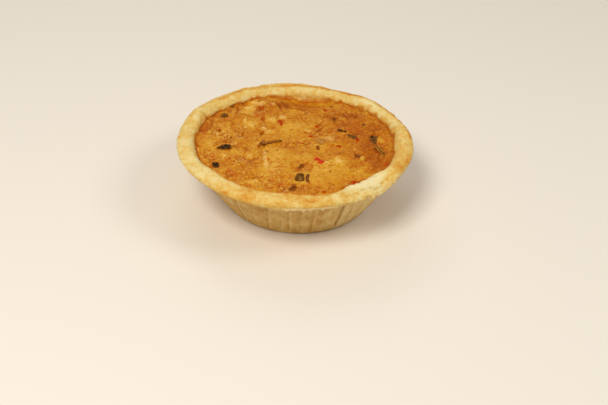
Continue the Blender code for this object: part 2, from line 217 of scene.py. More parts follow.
print("crest in front, mm up:", round(waves(-90.0, CREST_WAVES) / MM, 2))

# %% [markdown]
# ## The form of the hollow
# The hollow's wall wanders too. At the back right the rim is narrower, and at the back left a
# small notch lets the filling run out a little further. All of that fades out lower down, where
# the mould's own form takes over.

# %% The hollow's form
HOLLOW_WAVES = ((3, 0.3 * MM, 170.0), (8, 0.3 * MM, 20.0), (13, 0.2 * MM, 95.0))
FLAT_INWARD, FLAT_TEAR, FLAT_TEAR_LENGTH = 2.6 * MM, 0.7 * MM, 3.2 * MM

# The narrow stretch of the rim and its notch: angle, half width in degrees, and how far out.
HOLLOW_SWELLS = ((24.0, 50.0, 1.7 * MM), (154.5, 3.2, 1.6 * MM))


def torn_edge(angle):
    """Small steps in and out along the flat stretch's inner edge, where the dough was torn."""
    along = math.radians(angle) * HOLLOW_TOP_RADIUS / FLAT_TEAR_LENGTH
    return FLAT_TEAR * (smooth(-0.12, 0.12, ripple(along, 2.2)) - 0.5) * flat_stretch(angle)


def hollow_radius(height):
    """Radius of the plain hollow at a height."""
    share = (height - FLOOR_THICKNESS) / (HOLLOW_TOP_HEIGHT - FLOOR_THICKNESS)
    return HOLLOW_FLOOR_RADIUS + share * (HOLLOW_TOP_RADIUS - HOLLOW_FLOOR_RADIUS)


def crust_inside(height):
    """Radius of the crust's inner side: the hollow's wall, and above it the rim's round."""
    if height <= HOLLOW_TOP_HEIGHT:
        return hollow_radius(height)
    share = (height - HOLLOW_TOP_HEIGHT) / (HEIGHT - HOLLOW_TOP_HEIGHT)
    return CREST_RADIUS - (CREST_RADIUS - HOLLOW_TOP_RADIUS) * math.sqrt(1.0 - share * share)


def hollow_shift(angle, height):
    """How far the hollow's wall moves out at an angle, fading to nothing low down."""
    shift = waves(angle, HOLLOW_WAVES) + swells(angle, HOLLOW_SWELLS) + torn_edge(angle)
    shift -= FLAT_INWARD * flat_stretch(angle)
    return shift * smooth(0.4 * HOLLOW_TOP_HEIGHT, HOLLOW_TOP_HEIGHT, height)


print("hollow at its widest, mm:", round(1000 * (HOLLOW_TOP_RADIUS + hollow_shift(24.0, 0.03)), 1))

# %% [markdown]
# ## The form of the filling
# A baked custard isn't level. It stands in broad mounds, sinks at the back where it shrank from
# the crust, and is lumpy all over. Its edge creeps up the crust in uneven tongues, and how far
# out that is has been worked out once for every half degree, because it is asked for often.

# %% Filling: form and edge
LUMP_HEIGHT, LUMP_LENGTH = 0.45 * MM, 11.0 * MM
CRINKLE_HEIGHT, CRINKLE_LENGTH = 0.3 * MM, 4.5 * MM
EDGE_CLIMB, FRONT_CLIMB = 1.1 * MM, 0.3
REACH_STEPS = 720

# Mounds and sunk places: x, y, half length, half width, turn, height, in mm and degrees.
MOUNDS = laid_out((
    (-16, 42, 10.5, 7, -20, 1.5), (-30, 33, 9, 7, 40, 0.6), (16, 3, 9, 7, 10, 0.7),
    (-6, -16, 15, 10, 0, 0.6), (22, -18, 8, 6, 30, 0.5), (6, 50, 17, 10, -8, -2.8),
    (38, 25, 20, 9, -55, 1.1), (-18, 11, 1.6, 5, -10, -0.7),
))


def filling_form(x, y):
    """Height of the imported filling's top."""
    place = Vector((x, y, 0.0))
    lumps = LUMP_HEIGHT * noise.noise(place / LUMP_LENGTH)
    crinkles = CRINKLE_HEIGHT * noise.noise(place / CRINKLE_LENGTH + Vector((7.0, 2.0, 0.0)))
    return FILLING_LEVEL + lumps + crinkles + MM * patch_sum(x, y, MOUNDS)


def edge_climb(angle):
    """How far the filling's edge creeps up the crust at an angle, in uneven tongues."""
    place = round_middle(HOLLOW_TOP_RADIUS, angle)
    uneven = 0.4 + 1.3 * grain(place, 7.0 * MM, 5.0) + 0.9 * grain(place, 2.2 * MM, 9.0)
    less = 1.0 - (1.0 - FRONT_CLIMB) * swell(angle, -90.0, 75.0)
    return EDGE_CLIMB * max(uneven, 0.0) * less


def filling_reach(angle):
    """How far out the filling's top reaches at an angle, a hair into the crust that it meets."""
    edge = round_middle(HOLLOW_TOP_RADIUS - GAP + hollow_shift(angle, HOLLOW_TOP_HEIGHT), angle)
    height = filling_form(edge.x, edge.y) + edge_climb(angle)
    return crust_inside(height) + hollow_shift(angle, height) + 0.4 * GAP


REACHES = [filling_reach(360.0 * step / REACH_STEPS) for step in range(REACH_STEPS + 1)]


def reach_at(angle):
    """The filling's reach, read between the steps that were worked out once."""
    step = (angle % 360.0) * REACH_STEPS / 360.0
    low = int(step)
    return REACHES[low] + (step - low) * (REACHES[min(low + 1, REACH_STEPS)] - REACHES[low])


print("filling's reach, mm:", round(1000 * min(REACHES), 1), "to", round(1000 * max(REACHES), 1))

# %% [markdown]
# ## The filling's skin
# Over the form lies a skin, as on any baked custard. Cracks and ridges that the eye knows again
# are patches of their own. How wrinkled it is changes from place to place, from nearly smooth in
# front to very rough at the left and the back, and in places it slid and lies in folds.

# %% Filling: marks and folds of the skin
# Ridges and cracks in the skin, laid out as the mounds are.
SKIN_MARKS = laid_out((
    (-28, 36, 2, 5, -8, 0.81), (-24.4, 35.5, 1, 4.5, -8, -0.49), (-20, 40.8, 2.6, 1.8, 0, 0.78),
    (-16.4, 41.9, 2.6, 1.3, 0, 0.54), (-13.2, 40.2, 1.4, 3.6, 14, 0.81), (-9.4, 39.2, 1, 6, 20, -0.88),
    (-13.5, 25.2, 2.8, 3.4, 10, 0.72), (-18, 25, 0.9, 3.6, 8, -0.68), (-7.4, 27.7, 1.5, 2.2, 0, 0.63),
    (-10.2, 24.5, 0.8, 3.4, 10, -0.59), (-28, 22.5, 0.9, 3.2, 0, 0.54), (-27.4, 16.2, 1, 2, 0, 0.54),
    (-24.5, 18.5, 2.2, 3, 30, 0.36), (-17.3, 15.8, 1.5, 1.8, 0, 0.54), (-14.3, 12.6, 2.4, 2.2, 0, 0.54),
    (-18.2, 10.4, 0.5, 3.6, -12, -0.88), (-41.3, 11.7, 0.6, 3, 8, -0.49), (-42.6, 8.5, 0.8, 3, 25, 0.2),
    (-35.8, 8, 2, 0.8, 40, 0.15), (-15.4, -13.5, 1.5, 4.6, 6, 0.5), (-14.4, -21.5, 1.5, 5, 6, 0.5),
    (-17.2, -14.5, 0.7, 6.5, 5, -0.6), (-19, -4, 0.5, 3, 0, -0.49), (-24, -14, 1.6, 2.6, 10, 0.36),
    (-20.2, -37.5, 2.6, 2.2, 0, 0.45), (-9, -28, 0.8, 2.6, 0, 0.45), (7, 13.6, 2.6, 0.9, -28, 0.72),
    (7, 12, 2.6, 0.6, -28, -0.59), (17.5, 7.5, 2.6, 2.4, 0, 0.45), (12.6, 14.5, 0.7, 6.5, -30, -0.4),
    (13.5, 22, 0.7, 4, -24, -0.4), (22.5, -12, 0.7, 3.4, -40, 0.45), (23.4, -17, 2.4, 3, 0, 0.54),
    (30.2, 29, 0.8, 2.2, 0, 0.54), (33.5, 30.5, 0.8, 4, 10, -0.59), (37, 30.5, 0.8, 4, 12, 0.54),
    (45.8, 22.5, 2.4, 2.4, 0, -0.59), (45.8, 22, 1, 1.2, 0, 0.63), (45.4, 7, 2.4, 4.4, 0, 0.65),
    (8.8, -24, 0.9, 4.2, -8, -0.2), (3, 39, 9, 0.7, -4, -0.39), (0.5, 35.5, 5, 0.8, -10, 0.45),
    (-2, 31.5, 4, 0.8, -6, 0.36), (33.5, -27.5, 0.5, 3, -50, -0.39), (22.5, -35.5, 0.5, 4, -60, -0.34),
))

# How wrinkled the skin is, above or below the plain share.
PLAIN_WRINKLES, LEAST_WRINKLES, MOST_WRINKLES = 0.75, 0.12, 1.6
WRINKLED = laid_out((
    (-33, -22, 16, 22, 0, 0.45), (-38, 10, 12, 20, 0, 0.45), (-24, 36, 14, 12, 0, 0.4),
    (-26, 36, 5, 6.5, 0, -0.7), (32, 28, 16, 16, 0, 0.5), (43, -8, 8, 16, 0, 0.4),
    (-5, -38, 18, 8, 0, 0.3), (18, -28, 15, 14, 0, -0.25), (-7, -12, 10, 9, 0, -0.35),
    (0, 12, 9, 12, 0, -0.3), (20, -4, 10, 7, 0, -0.15),
))

# Where the skin is thrown into folds, and how far, from 0 to 1.
FOLDED = laid_out((
    (-22, 38, 15, 10, -15, 1), (-20, 20, 12, 10, 0, 0.8), (30, 30, 14, 9, -30, 0.5),
    (42, 2, 7, 18, 0, 0.7), (-42, 4, 7, 16, 0, 0.5), (-30, -20, 10, 12, 0, 0.4),
    (-10, -34, 16, 8, 0, 0.4), (8, 24, 12, 8, 0, 0.35),
))

print("ridges and cracks:", len(SKIN_MARKS))

# %% [markdown]
# ## Curds, wrinkles and creases
# The fine relief is a sum of noises, one for each thing that baking does. Curds are the cells of
# a Voronoi noise. Wrinkles are the places where a smooth noise passes through zero, which makes
# thin winding lines. All are read at a warped place, so that nothing looks regular.

# %% Filling: relief of the skin
WARP, WARP_SIZE = 1.0 * MM, 3.0 * MM
CURD_SIZE, CURD_DEPTH = 3.4 * MM, 0.16 * MM
WRINKLE_SIZE, WRINKLE_DEPTH = 3.0 * MM, 0.26 * MM
CREASE_SIZE, CREASE_DEEP = 1.8 * MM, 0.2 * MM
SOFT_SIZE, SOFT_HEIGHT = 3.4 * MM, 0.35 * MM
FINE_SIZE, FINE_HEIGHT = 1.5 * MM, 0.2 * MM
GRANULE_SIZE, GRANULE_HEIGHT = 1.3 * MM, 0.28 * MM
FOLD_SIZE, FOLD_HEIGHT = 6.5 * MM, 1.0 * MM
EDGE_BAND = 2.0 * MM
SLANT = Matrix.Rotation(math.radians(-36.0), 3, "Z")


def line(value, half_width):
    """1 where a value passes through zero, 0 from half_width away: thin lines in a noise."""
    return fade(half_width, abs(value))


def strands(place, size, seed, half_width):
    """Thin lines that run mostly from side to side, and slant at the right where the rim turns."""
    slant = smooth(5.0 * MM, 28.0 * MM, place.x - 0.6 * place.y)
    turned = SLANT @ place
    straight = line(grain(Vector((0.6 * place.x, place.y, 0.0)), size, seed), half_width)
    slanted = line(grain(Vector((0.6 * turned.x, turned.y, 0.0)), size, seed + 2.0), half_width)
    return max(straight * (1.0 - slant), slanted * slant)


def wrinkling(x, y):
    """How wrinkled the skin is at a place, from hardly to one and a half times."""
    share = PLAIN_WRINKLES + patch_sum(x, y, WRINKLED)
    share *= 0.85 + 0.9 * grain(Vector((x, y, 0.0)), 6.0 * MM, 31.0)
    return min(max(share, LEAST_WRINKLES), MOST_WRINKLES)


def skin_relief(x, y):
    """Fine relief of the filling's skin, and how much of it is a crease, from 0 to 1."""
    place = Vector((x, y, 0.0))
    warped = place + WARP * noise.noise_vector(place / WARP_SIZE)
    nearest, second = noise.voronoi(warped / CURD_SIZE)[0][:2]
    curd = fade(0.3, second - nearest)
    wrinkle = strands(warped, WRINKLE_SIZE, 11.0, 0.2)
    crease = strands(warped, CREASE_SIZE, 14.0, 0.26)
    wrinkled = wrinkling(x, y)
    relief = SOFT_HEIGHT * grain(place, SOFT_SIZE, 1.0) + FINE_HEIGHT * grain(warped, FINE_SIZE, 4.0)
    relief += GRANULE_HEIGHT * smooth(0.05, 0.45, grain(warped, GRANULE_SIZE, 17.0))
    relief -= CURD_DEPTH * curd + WRINKLE_DEPTH * wrinkle + CREASE_DEEP * crease
    folds = 0.4 - 2.2 * abs(grain(warped, FOLD_SIZE, 21.0))
    folded = FOLD_HEIGHT * folds * min(patch_sum(x, y, FOLDED), 1.0)
    return relief * wrinkled + folded, min(max(curd * 0.4, wrinkle, crease * 0.8) * wrinkled, 1.0)


def filling_top(x, y):
    """Height of the finished skin, with its edge creeping up the crust in places."""
    angle = angle_at(x, y)
    inside = reach_at(angle) - math.hypot(x, y)
    height = filling_form(x, y) + skin_relief(x, y)[0] + MM * patch_sum(x, y, SKIN_MARKS)
    if inside < EDGE_BAND:
        height += edge_climb(angle) * (1.0 - smooth(-0.3 * EDGE_BAND, EDGE_BAND, inside))
    return height


print("filling's top in the middle, mm:", round(1000 * filling_top(0.0, 0.0), 2))

# %% [markdown]
# ## Patches of colour
# The oven browned the filling unevenly, so its colour is first laid down in the same soft
# patches that shaped it: golden or browned places, creamy lumps, places reddened by pepper, and
# some darker places that are partly painted shade, in cracks, hollows and beside mounds. The mesh
# carries them as painted values, because a material can read those anywhere.

# %% Filling: patches of colour
# x, y, half length, half width, turn, amount. Above 0 is more golden, below 0 more browned.
# Some below 0 are partly painted shade: along the cracks, in the sunk place at the back and
# between the green stalks. Those at -18.4, 25.2 and -6.4, 41 are painted shadows beside mounds.
GOLDEN_AND_SHADE_PATCHES = laid_out((
    (-25.8, 36.4, 5, 7.4, -8, 0.74), (-25, 37, 4, 5, 0, 0.1), (-13.5, 25, 3.6, 4.6, 10, 0.4),
    (-24.5, 18.5, 4, 4, 30, 0.4), (-28.2, 22, 1.4, 4, 0, 0.35), (-14, 12.6, 3.6, 3.4, 0, 0.5),
    (-3, 14, 7, 10, 0, 0.25), (8, 18, 5, 4, 0, 0.3), (16, 9, 4.5, 3.6, 10, 0.35),
    (14, -4, 4, 5, 0, 0.2), (-8, -14, 10, 9, 0, 0.38), (18, -22, 13, 9, 10, 0.3),
    (12, -32, 10, 6, 0, 0.2), (23.5, -16, 3.6, 5, 0, 0.4), (5, -14, 5, 4, 0, 0.25),
    (-37, -15, 4, 3, 20, 0.4), (-45, -4, 3.2, 9, 5, 0.3), (-42.6, 8.5, 1.2, 3.4, 25, 0.25),
    (-24.5, -13.5, 2.8, 4, 10, 0.4), (-19.3, -38, 4.6, 3.6, 0, 0.35), (-30, -10, 4, 5, 0, 0.2),
    (45.9, 6.2, 3.4, 6, 0, 0.25), (41.5, 36, 3, 6, 40, 0.35), (34, -26, 3.5, 3, 0, 0.25),
    (4, 45, 14, 4.5, -4, -0.5), (44, 0, 8, 22, 0, -0.25), (34, 10, 18, 30, 0, -0.24),
    (30, 28, 14, 10, 30, -0.18), (-6.4, 41, 3.4, 6, 25, -0.8), (2, 38.5, 9, 1.8, -4, -0.45),
    (-9.6, 39.5, 1.2, 6, 20, -0.5), (19, 30, 4, 5, 10, -0.35), (29, 22, 9, 9, 20, -0.1),
    (36, 30, 5, 8, 40, -0.05), (37, 16, 6, 7, 0, -0.2), (40, -3, 5, 9, 0, -0.2),
    (44, -15, 5, 6, 0, -0.25), (41, -22, 9, 4, 60, -0.3), (28, -38, 9, 3, 32, -0.25),
    (-18.4, 25.2, 1.6, 4.2, 8, -0.5), (-21.8, 35.5, 1, 6, -14, -0.5), (-26.5, 28, 5, 1.2, -10, -0.45),
    (-33, 33.5, 1, 5, 8, -0.4), (-18.2, 10.4, 0.8, 4.2, -12, -0.7), (-41.3, 11.7, 0.7, 3.4, 8, -0.6),
    (-34, 38, 5, 4, 50, -0.35), (-47.5, 14, 2.4, 12, -12, -0.3), (-27, -5, 3.5, 4, 0, -0.2),
    (-9, -27, 11, 9, 0, 0.2), (45.2, -3.4, 6.4, 2.6, -66, -0.9), (37, -1, 5, 6, 0, -0.15),
    (-40, -4, 12, 26, 0, 0.11), (3, -24, 2, 6.4, -34, -0.55), (8.8, -23, 1.2, 4.6, -8, -0.35),
    (-19, -3.8, 1.4, 2.6, 0, -0.35), (12.8, 15, 0.9, 7.5, -30, -0.45),
    (13.8, 22.5, 0.9, 4.5, -24, -0.4), (31, -20, 4, 4, 0, -0.25),
))
CREAM_PATCHES = laid_out((
    (-20.5, 40.6, 3.4, 1.9, 0, 1.2), (-17, 41.9, 1.6, 1.4, 0, 0.51), (-13.4, 40.4, 1.8, 3, 14, 0.9),
    (-7.3, 28.2, 2.1, 2.8, 0, 1.5), (-12.6, 25.5, 2, 3.2, 10, 0.6), (-27.5, 16, 1.1, 2.2, 0, 1),
    (-17.3, 15.8, 1.5, 2.2, 0, 1.2), (-28, 22.7, 0.7, 2.6, 0, 0.34), (-33, 28.6, 0.7, 2.4, 0, 0.42),
    (7, 13.8, 2.9, 1.1, -28, 1.3), (18.8, 6.4, 4.6, 3.8, 0, 0.75), (-15.6, -13, 1.6, 5.6, 6, 0.95),
    (-14.4, -21.5, 1.9, 6, 6, 0.9), (22.8, -12.4, 0.7, 3.6, -40, 0.59), (23.4, -17.4, 2, 2.8, 0, 0.64),
    (-7.6, -28.5, 0.7, 3, 0, 0.59), (-10.8, -26.5, 2.2, 3.6, 0, 0.55), (-32, -31, 1.4, 1.6, 0, 0.34),
    (30.2, 29, 0.8, 2.2, 0, 0.59), (-19, -1.5, 1.2, 1.6, 0, 0.34), (-37.5, -13.5, 1.2, 1.4, 0, 0.42),
    (-42.6, 9, 0.6, 2.4, 25, 0.2), (-34.5, 8.5, 0.6, 2, -20, 0.15), (-46, -1, 0.6, 3, 5, 0.2),
))
# The patch at -18.3, 25.5 reddens the painted shadow beside the golden lump at -13.5, 25.
RED_PATCHES = laid_out((
    (-30.5, -31.5, 5.5, 3.4, -40, 0.9), (-33.5, -28.5, 3, 3, 0, 0.4), (-24, -42.6, 3.4, 2.4, 0, 0.9),
    (-7, -41, 3, 3, 0, 0.3), (-35.6, -1.2, 3, 1, 0, 0.9), (-18.3, 25.5, 1.6, 3.4, 8, 0.6),
    (-38.5, 23.5, 2.4, 2, 0, 0.5), (-50.6, 22.6, 1.6, 2.6, 0, 1.2), (-49.5, 10, 1.4, 8, -8, 0.6),
    (-20, 30.5, 4, 2.6, 0, 0.7), (-24, 36, 5, 7, 0, 0.5), (-12, 34, 3, 4, 0, 0.6),
    (-35, 16, 3, 5, 0, 0.5), (-44, -14, 3, 6, 20, 0.5), (32, 18, 5, 4, 0, 0.5), (38, -14, 4, 5, 0, 0.4),
    (47.6, -17, 1.8, 4.5, -20, 1.6), (49.5, 8.5, 1.4, 4, 0, 0.7), (45.5, 22.5, 2.6, 2.6, 0, 0.5),
    (19.5, 13.6, 2.4, 3, 0, 0.5), (35, 25, 2, 5, 10, 0.4), (21, -1, 3, 2, 0, 0.4),
    (27, -34, 4, 2, 40, 0.5), (6, 33, 2, 2.4, 0, 0.4), (18.5, 38, 6, 3, 0, 0.35),
))
print("patches:", len(GOLDEN_AND_SHADE_PATCHES), "golden,", len(CREAM_PATCHES), "cream,", len(RED_PATCHES), "red")

# %% [markdown]
# ## The filling's mesh
# A round sheet made by rounding off a square grid has even faces all over, where a fan of
# triangles would bunch up in the middle. Its edge is then extruded down the hollow and closed.

# %% Round sheets


def rounded(x, y):
    """Where a point of a square, from -1 to 1, lies once the square is rounded to a disc."""
    return x * math.sqrt(1.0 - y * y / 2.0), y * math.sqrt(1.0 - x * x / 2.0)


def round_sheet(radius, height, divisions):
    """A flat round sheet, divided evenly by rounding off a square grid."""
    body = bmesh.new()
    bmesh.ops.create_grid(body, x_segments=divisions, y_segments=divisions, size=1.0)
    for vert in body.verts:
        x, y = rounded(vert.co.x, vert.co.y)
        vert.co = (radius * x, radius * y, height)
    return body


def of_kind(made, kind):
    """The vertices or the edges among what an extrude made."""
    return [item for item in made if isinstance(item, kind)]


def pulled_down(body, rings):
    """Extrudes a sheet's edge down through rings of (radius, height), and closes the last."""
    edge = [e for e in body.edges if e.is_boundary]
    for radius, height in rings:
        made = bmesh.ops.extrude_edge_only(body, edges=edge)["geom"]
        edge = of_kind(made, bmesh.types.BMEdge)
        for vert in of_kind(made, bmesh.types.BMVert):
            stretch = radius / math.hypot(vert.co.x, vert.co.y)
            vert.co = (vert.co.x * stretch, vert.co.y * stretch, height)
    bmesh.ops.contextual_create(body, geom=edge)
    bmesh.ops.recalc_face_normals(body, faces=body.faces)


def painted(body, *names):
    """New values painted on a bmesh's vertices, one layer for each name."""
    return [body.verts.layers.float.new(name) for name in names]


def finished(body, name, sharp_angle=60.0):
    """Turns a bmesh into a smooth-shaded object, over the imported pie's own middle."""
    mesh = bpy.data.meshes.new(name)
    bmesh.ops.translate(body, vec=CENTRING, verts=body.verts)
    body.to_mesh(mesh)
    body.free()
    mesh.shade_smooth()
    mesh.set_sharp_from_angle(angle=math.radians(sharp_angle))
    piece = bpy.data.objects.new(name, mesh)
    bpy.context.scene.collection.objects.link(piece)
    print(name, len(mesh.polygons), "faces")
    return piece


print("a square's corner goes to", [round(value, 2) for value in rounded(1.0, 1.0)])

# %% [markdown]
# ## The filling, shaped and painted
# The sheet is stretched to the crust and every vertex lifted to the skin. Six painted values go
# with it: golden, cream and red from the patches, how deep a crease is, how far the relief is
# raised, and how coarse the skin is. A browned ring runs along the edge.

# %% Filling: mesh
FILLING_DIVISIONS = 290
LOWER_RINGS = (24.0 * MM, 17.0 * MM, 4.8 * MM)
RING_WIDTH, RING_BROWN, RING_RED = 2.6 * MM, 0.55, 0.35

# Where the browned ring is weaker: in front and at the right.
WEAK_RING = ((-75.0, 75.0, 0.5), (20.0, 60.0, 0.5))


def filling_mesh():
    """The filling's solid: a top sheet at its reach, and the hollow's form below."""
    top_radius = HOLLOW_TOP_RADIUS - GAP
    body = round_sheet(top_radius, HOLLOW_TOP_HEIGHT, FILLING_DIVISIONS)
    pulled_down(body, [(hollow_radius(height) - GAP, height) for height in LOWER_RINGS])
    layers = painted(body, "golden", "cream", "red", "crease", "raised", "coarse")
    golden, cream, red, crease, raised, coarse = layers
    for vert in body.verts:
        radius = max(math.hypot(vert.co.x, vert.co.y), GAP)
        angle = angle_at(vert.co.x, vert.co.y)
        on_top = vert.co.z > HOLLOW_TOP_HEIGHT - GAP
        if on_top:
            shift = (reach_at(angle) - top_radius) * smooth(0.5 * top_radius, top_radius, radius)
        else:
            shift = hollow_shift(angle, vert.co.z)
        x, y = vert.co.x * (1.0 + shift / radius), vert.co.y * (1.0 + shift / radius)
        if not on_top:
            vert.co = (x, y, vert.co.z)
            continue
        inside = reach_at(angle) - math.hypot(x, y)
        vert.co = (x, y, filling_top(x, y))
        wander = 1.0 + 1.2 * grain(vert.co, 5.0 * MM, 6.0)
        ring = fade(RING_WIDTH * wander, inside) * (1.0 - swells(angle, WEAK_RING))
        # The golden value also carries the patches' painted shade.
        vert[golden] = patch_sum(x, y, GOLDEN_AND_SHADE_PATCHES) - RING_BROWN * ring
        vert[cream] = patch_sum(x, y, CREAM_PATCHES)
        vert[red] = patch_sum(x, y, RED_PATCHES) + RING_RED * ring
        relief, vert[crease] = skin_relief(x, y)
        vert[raised] = (relief + 0.6 * MM * patch_sum(x, y, SKIN_MARKS)) / (0.5 * MM)
        vert[coarse] = wrinkling(x, y)
    return body


filling = finished(filling_mesh(), "pie_filling")
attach(filling, "root")
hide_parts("filling")

# %% [markdown]
# ## The wall's creases
# The pastry was pressed into a fluted mould, so its wall is made of broad soft panels that meet
# in narrow creases. Those in front lie where they show, each with its own lean and depth, and
# the rest follow a seeded rule. Each crease is a broad groove with a fine fold inside it, and
# the fold's one side stands up a little, which is what catches the light.

# %% Creases
CREASE_DEPTH = 0.85 * MM
CREASE_HALF_WIDTH = 2.6
FOLD_DEPTH, FOLD_HALF_WIDTH = 0.45 * MM, 1.1
FOLD_LIFT, LIFT_AWAY, LIFT_HALF_WIDTH = 0.35 * MM, 1.5, 1.3
OTHER_CREASES, CREASE_WANDER, CREASE_SEED = 20, 3.5, 5
CREASE_STEP = 2.5
CREASE_START, CREASE_FULL = 0.6 * MM, 6.0 * MM

# Angle at mid height, lean from foot to top, and how deep the fold is.
FRONT_CREASES = (
    (-132.3, -4, 0.35), (-125.4, 8.9, 1), (-116.1, 9, 0.12), (-106.5, 7.1, 0.38), (-98.6, 4.6, 0.1),
    (-94, 2.1, 0.38), (-86.6, -0.5, 0.12), (-79.6, -1, 0.38), (-71.2, -4.9, 0.12), (-62.3, -4.6, 1.4),
    (-55.5, -7.8, 0.35), (-48, -9, 0.25),
)


def all_creases():
    """Every crease as (angle, lean, fold depth): those in front, then the rest in turn."""
    rng = random.Random(CREASE_SEED)
    start = FRONT_CREASES[-1][0]
    pitch = (360.0 + FRONT_CREASES[0][0] - start) / (OTHER_CREASES + 1)
    angles = [
        start + pitch * (i + 1) + rng.uniform(-CREASE_WANDER, CREASE_WANDER)
        for i in range(OTHER_CREASES)
    ]
    angles = [CREASE_STEP * round(angle / CREASE_STEP) for angle in angles]
    return list(FRONT_CREASES) + [(a, rng.uniform(-3.0, 3.0), rng.uniform(0.2, 1.0)) for a in angles]


CREASES = all_creases()


def crease_turn(angle, height, crease):
    """The turn from a leaning crease to an angle at a height, in degrees."""
    return turn_between(angle, crease[0] + crease[1] * (height / WALL_TOP - 0.5))


def flute(angle, height):
    """How far the wall is let in at a place: wholly at a crease, and hardly on a panel's belly."""
    away, depth = min((abs(crease_turn(angle, height, c)), c[2]) for c in CREASES)
    edge = smooth(0.0, CREASE_HALF_WIDTH, away)
    belly = smooth(CREASE_HALF_WIDTH, 3.0 * CREASE_HALF_WIDTH, away)
    return CREASE_DEPTH * min(0.35 + depth, 1.0) * (0.7 * edge + 0.3 * belly - 1.0)


def fold(angle, height):
    """The fine fold in a crease: (how deep it is here, from 0 to 1, and the relief)."""
    best = min(CREASES, key=lambda c: abs(crease_turn(angle, height, c)))
    turn = crease_turn(angle, height, best)
    turn += 0.25 * ripple(best[0], height / (5.0 * MM))
    groove = best[2] * fade(FOLD_HALF_WIDTH, abs(turn))
    lifted = best[2] * fade(LIFT_HALF_WIDTH, abs(turn - LIFT_AWAY))
    return groove, FOLD_LIFT * lifted - FOLD_DEPTH * groove


print("creases:", len(CREASES))

# %% [markdown]
# ## The shell's mesh
# The shell is a half section spun round its middle. Each point of the section carries its zone
# and how far across its zone it lies, and the spin copies both to every new vertex, so a later
# pass can move each vertex as its zone asks: the wall is creased, the lip torn, the rim waved.

# %% Shell: the half section
CRUST_STEPS = 720
FOOT_ROWS, WALL_ROWS, LIP_ROWS, RIM_ROWS = 8, 42, 5, 15
FOOT, WALL, LIP, RIM, HOLLOW = range(5)

# The lip is the cut edge of the dough, under the rim: its underside, its face and its top.
LIP_SECTION = ((61.2, 30.5), (62.1, 30.9), (62.6, 31.3), (62.8, 31.8), (62.9, 32.2))

# The hollow's heights, close together near its top, where the relief runs out.
HOLLOW_ROWS = (29.5, 29.0, 28.4, 27.6, 26.5, 17.25)


def wall_radius(height):
    """Radius of the plain wall at a height."""
    return FOOT_RADIUS + WALL_FLARE * height


def shell_section():
    """Half section as (radius, height, zone, share across the zone)."""
    bend = math.pi / 2 - math.atan(WALL_FLARE)
    reach = FOOT_ROUNDING * math.tan(bend / 2)
    middle = Vector((FOOT_RADIUS - reach, FOOT_ROUNDING))
    points = [(0.0, 0.0, FOOT, 0.0), (0.5 * FOOT_RADIUS, 0.0, FOOT, 0.0)]
    for i in range(FOOT_ROWS + 1):
        turn = bend * i / FOOT_ROWS
        spot = middle + FOOT_ROUNDING * Vector((math.sin(turn), -math.cos(turn)))
        points.append((spot.x, spot.y, FOOT, i / FOOT_ROWS))
    start = points[-1][1]
    for i in range(1, WALL_ROWS + 1):
        height = start + (WALL_TOP - start) * i / WALL_ROWS
        points.append((wall_radius(height), height, WALL, i / WALL_ROWS))
    points += [(r * MM, h * MM, LIP, i / LIP_ROWS) for i, (r, h) in enumerate(LIP_SECTION)]
    outer = (RIM_RADIUS - CREST_RADIUS, HEIGHT - RIM_WIDEST_HEIGHT)
    inner = (CREST_RADIUS - HOLLOW_TOP_RADIUS, HEIGHT - HOLLOW_TOP_HEIGHT)
    for i in range(2 * RIM_ROWS + 1):
        turn = 0.5 * math.pi * i / RIM_ROWS
        side, drop = outer if i <= RIM_ROWS else inner
        radius = CREST_RADIUS + side * math.cos(turn)
        height = HEIGHT - drop * (1.0 - math.sin(turn))
        points.append((radius, height, RIM, 0.5 * i / RIM_ROWS))
    for height in [row * MM for row in HOLLOW_ROWS] + [FLOOR_THICKNESS]:
        points.append((hollow_radius(height), height, HOLLOW, 0.0))
    return points + [(0.0, FLOOR_THICKNESS, HOLLOW, 1.0)]


def spun(body, section, steps):
    """Spins a section all the way round the upright axis, and joins the last one to the first."""
    middle, up = (0.0, 0.0, 0.0), (0.0, 0.0, 1.0)
    whole = 2.0 * math.pi
    bmesh.ops.spin(
        body, geom=section, cent=middle, axis=up, angle=whole, steps=steps, use_merge=True
    )


def spun_shell():
    body = bmesh.new()
    zone = body.verts.layers.int.new("zone")
    share = body.verts.layers.float.new("share")
    ring = []
    for radius, height, at, across in shell_section():
        vert = body.verts.new((radius, 0.0, height))
        vert[zone], vert[share] = at, across
        ring.append(vert)
    edges = [body.edges.new(pair) for pair in zip(ring, ring[1:])]
    spun(body, ring + edges, CRUST_STEPS)
    bmesh.ops.remove_doubles(body, verts=body.verts, dist=0.001 * MM)
    bmesh.ops.recalc_face_normals(body, faces=body.faces)
    print("section points:", len(ring))
    return body


# %% [markdown]
# ## Placing the rim
# Each zone has its own rule for where a plain point goes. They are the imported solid's rules, so
# the finished shell keeps its form. The rim is waved, and at the front right its outer edge
# hangs over the wall in torn scraps.

# %% Shell: the rim's places
RIM_GRAIN, RIM_GRAIN_LENGTH = 0.15 * MM, 5.0 * MM
HANG_OUT, HANG_DROP, HANG_BAND = 0.6, 1.2, 1.2 * MM


def ledge_scraps(angle):
    """Torn scraps that hang over the wall at the front right, from 0 to 1."""
    along = math.radians(angle) * RIM_RADIUS
    torn = smooth(-0.15, 0.1, ripple(along / (3.4 * MM), 6.1))
    torn += 0.6 * ripple(along / (1.3 * MM), 2.7)
    return torn * swell(angle, -48.0, 23.0)


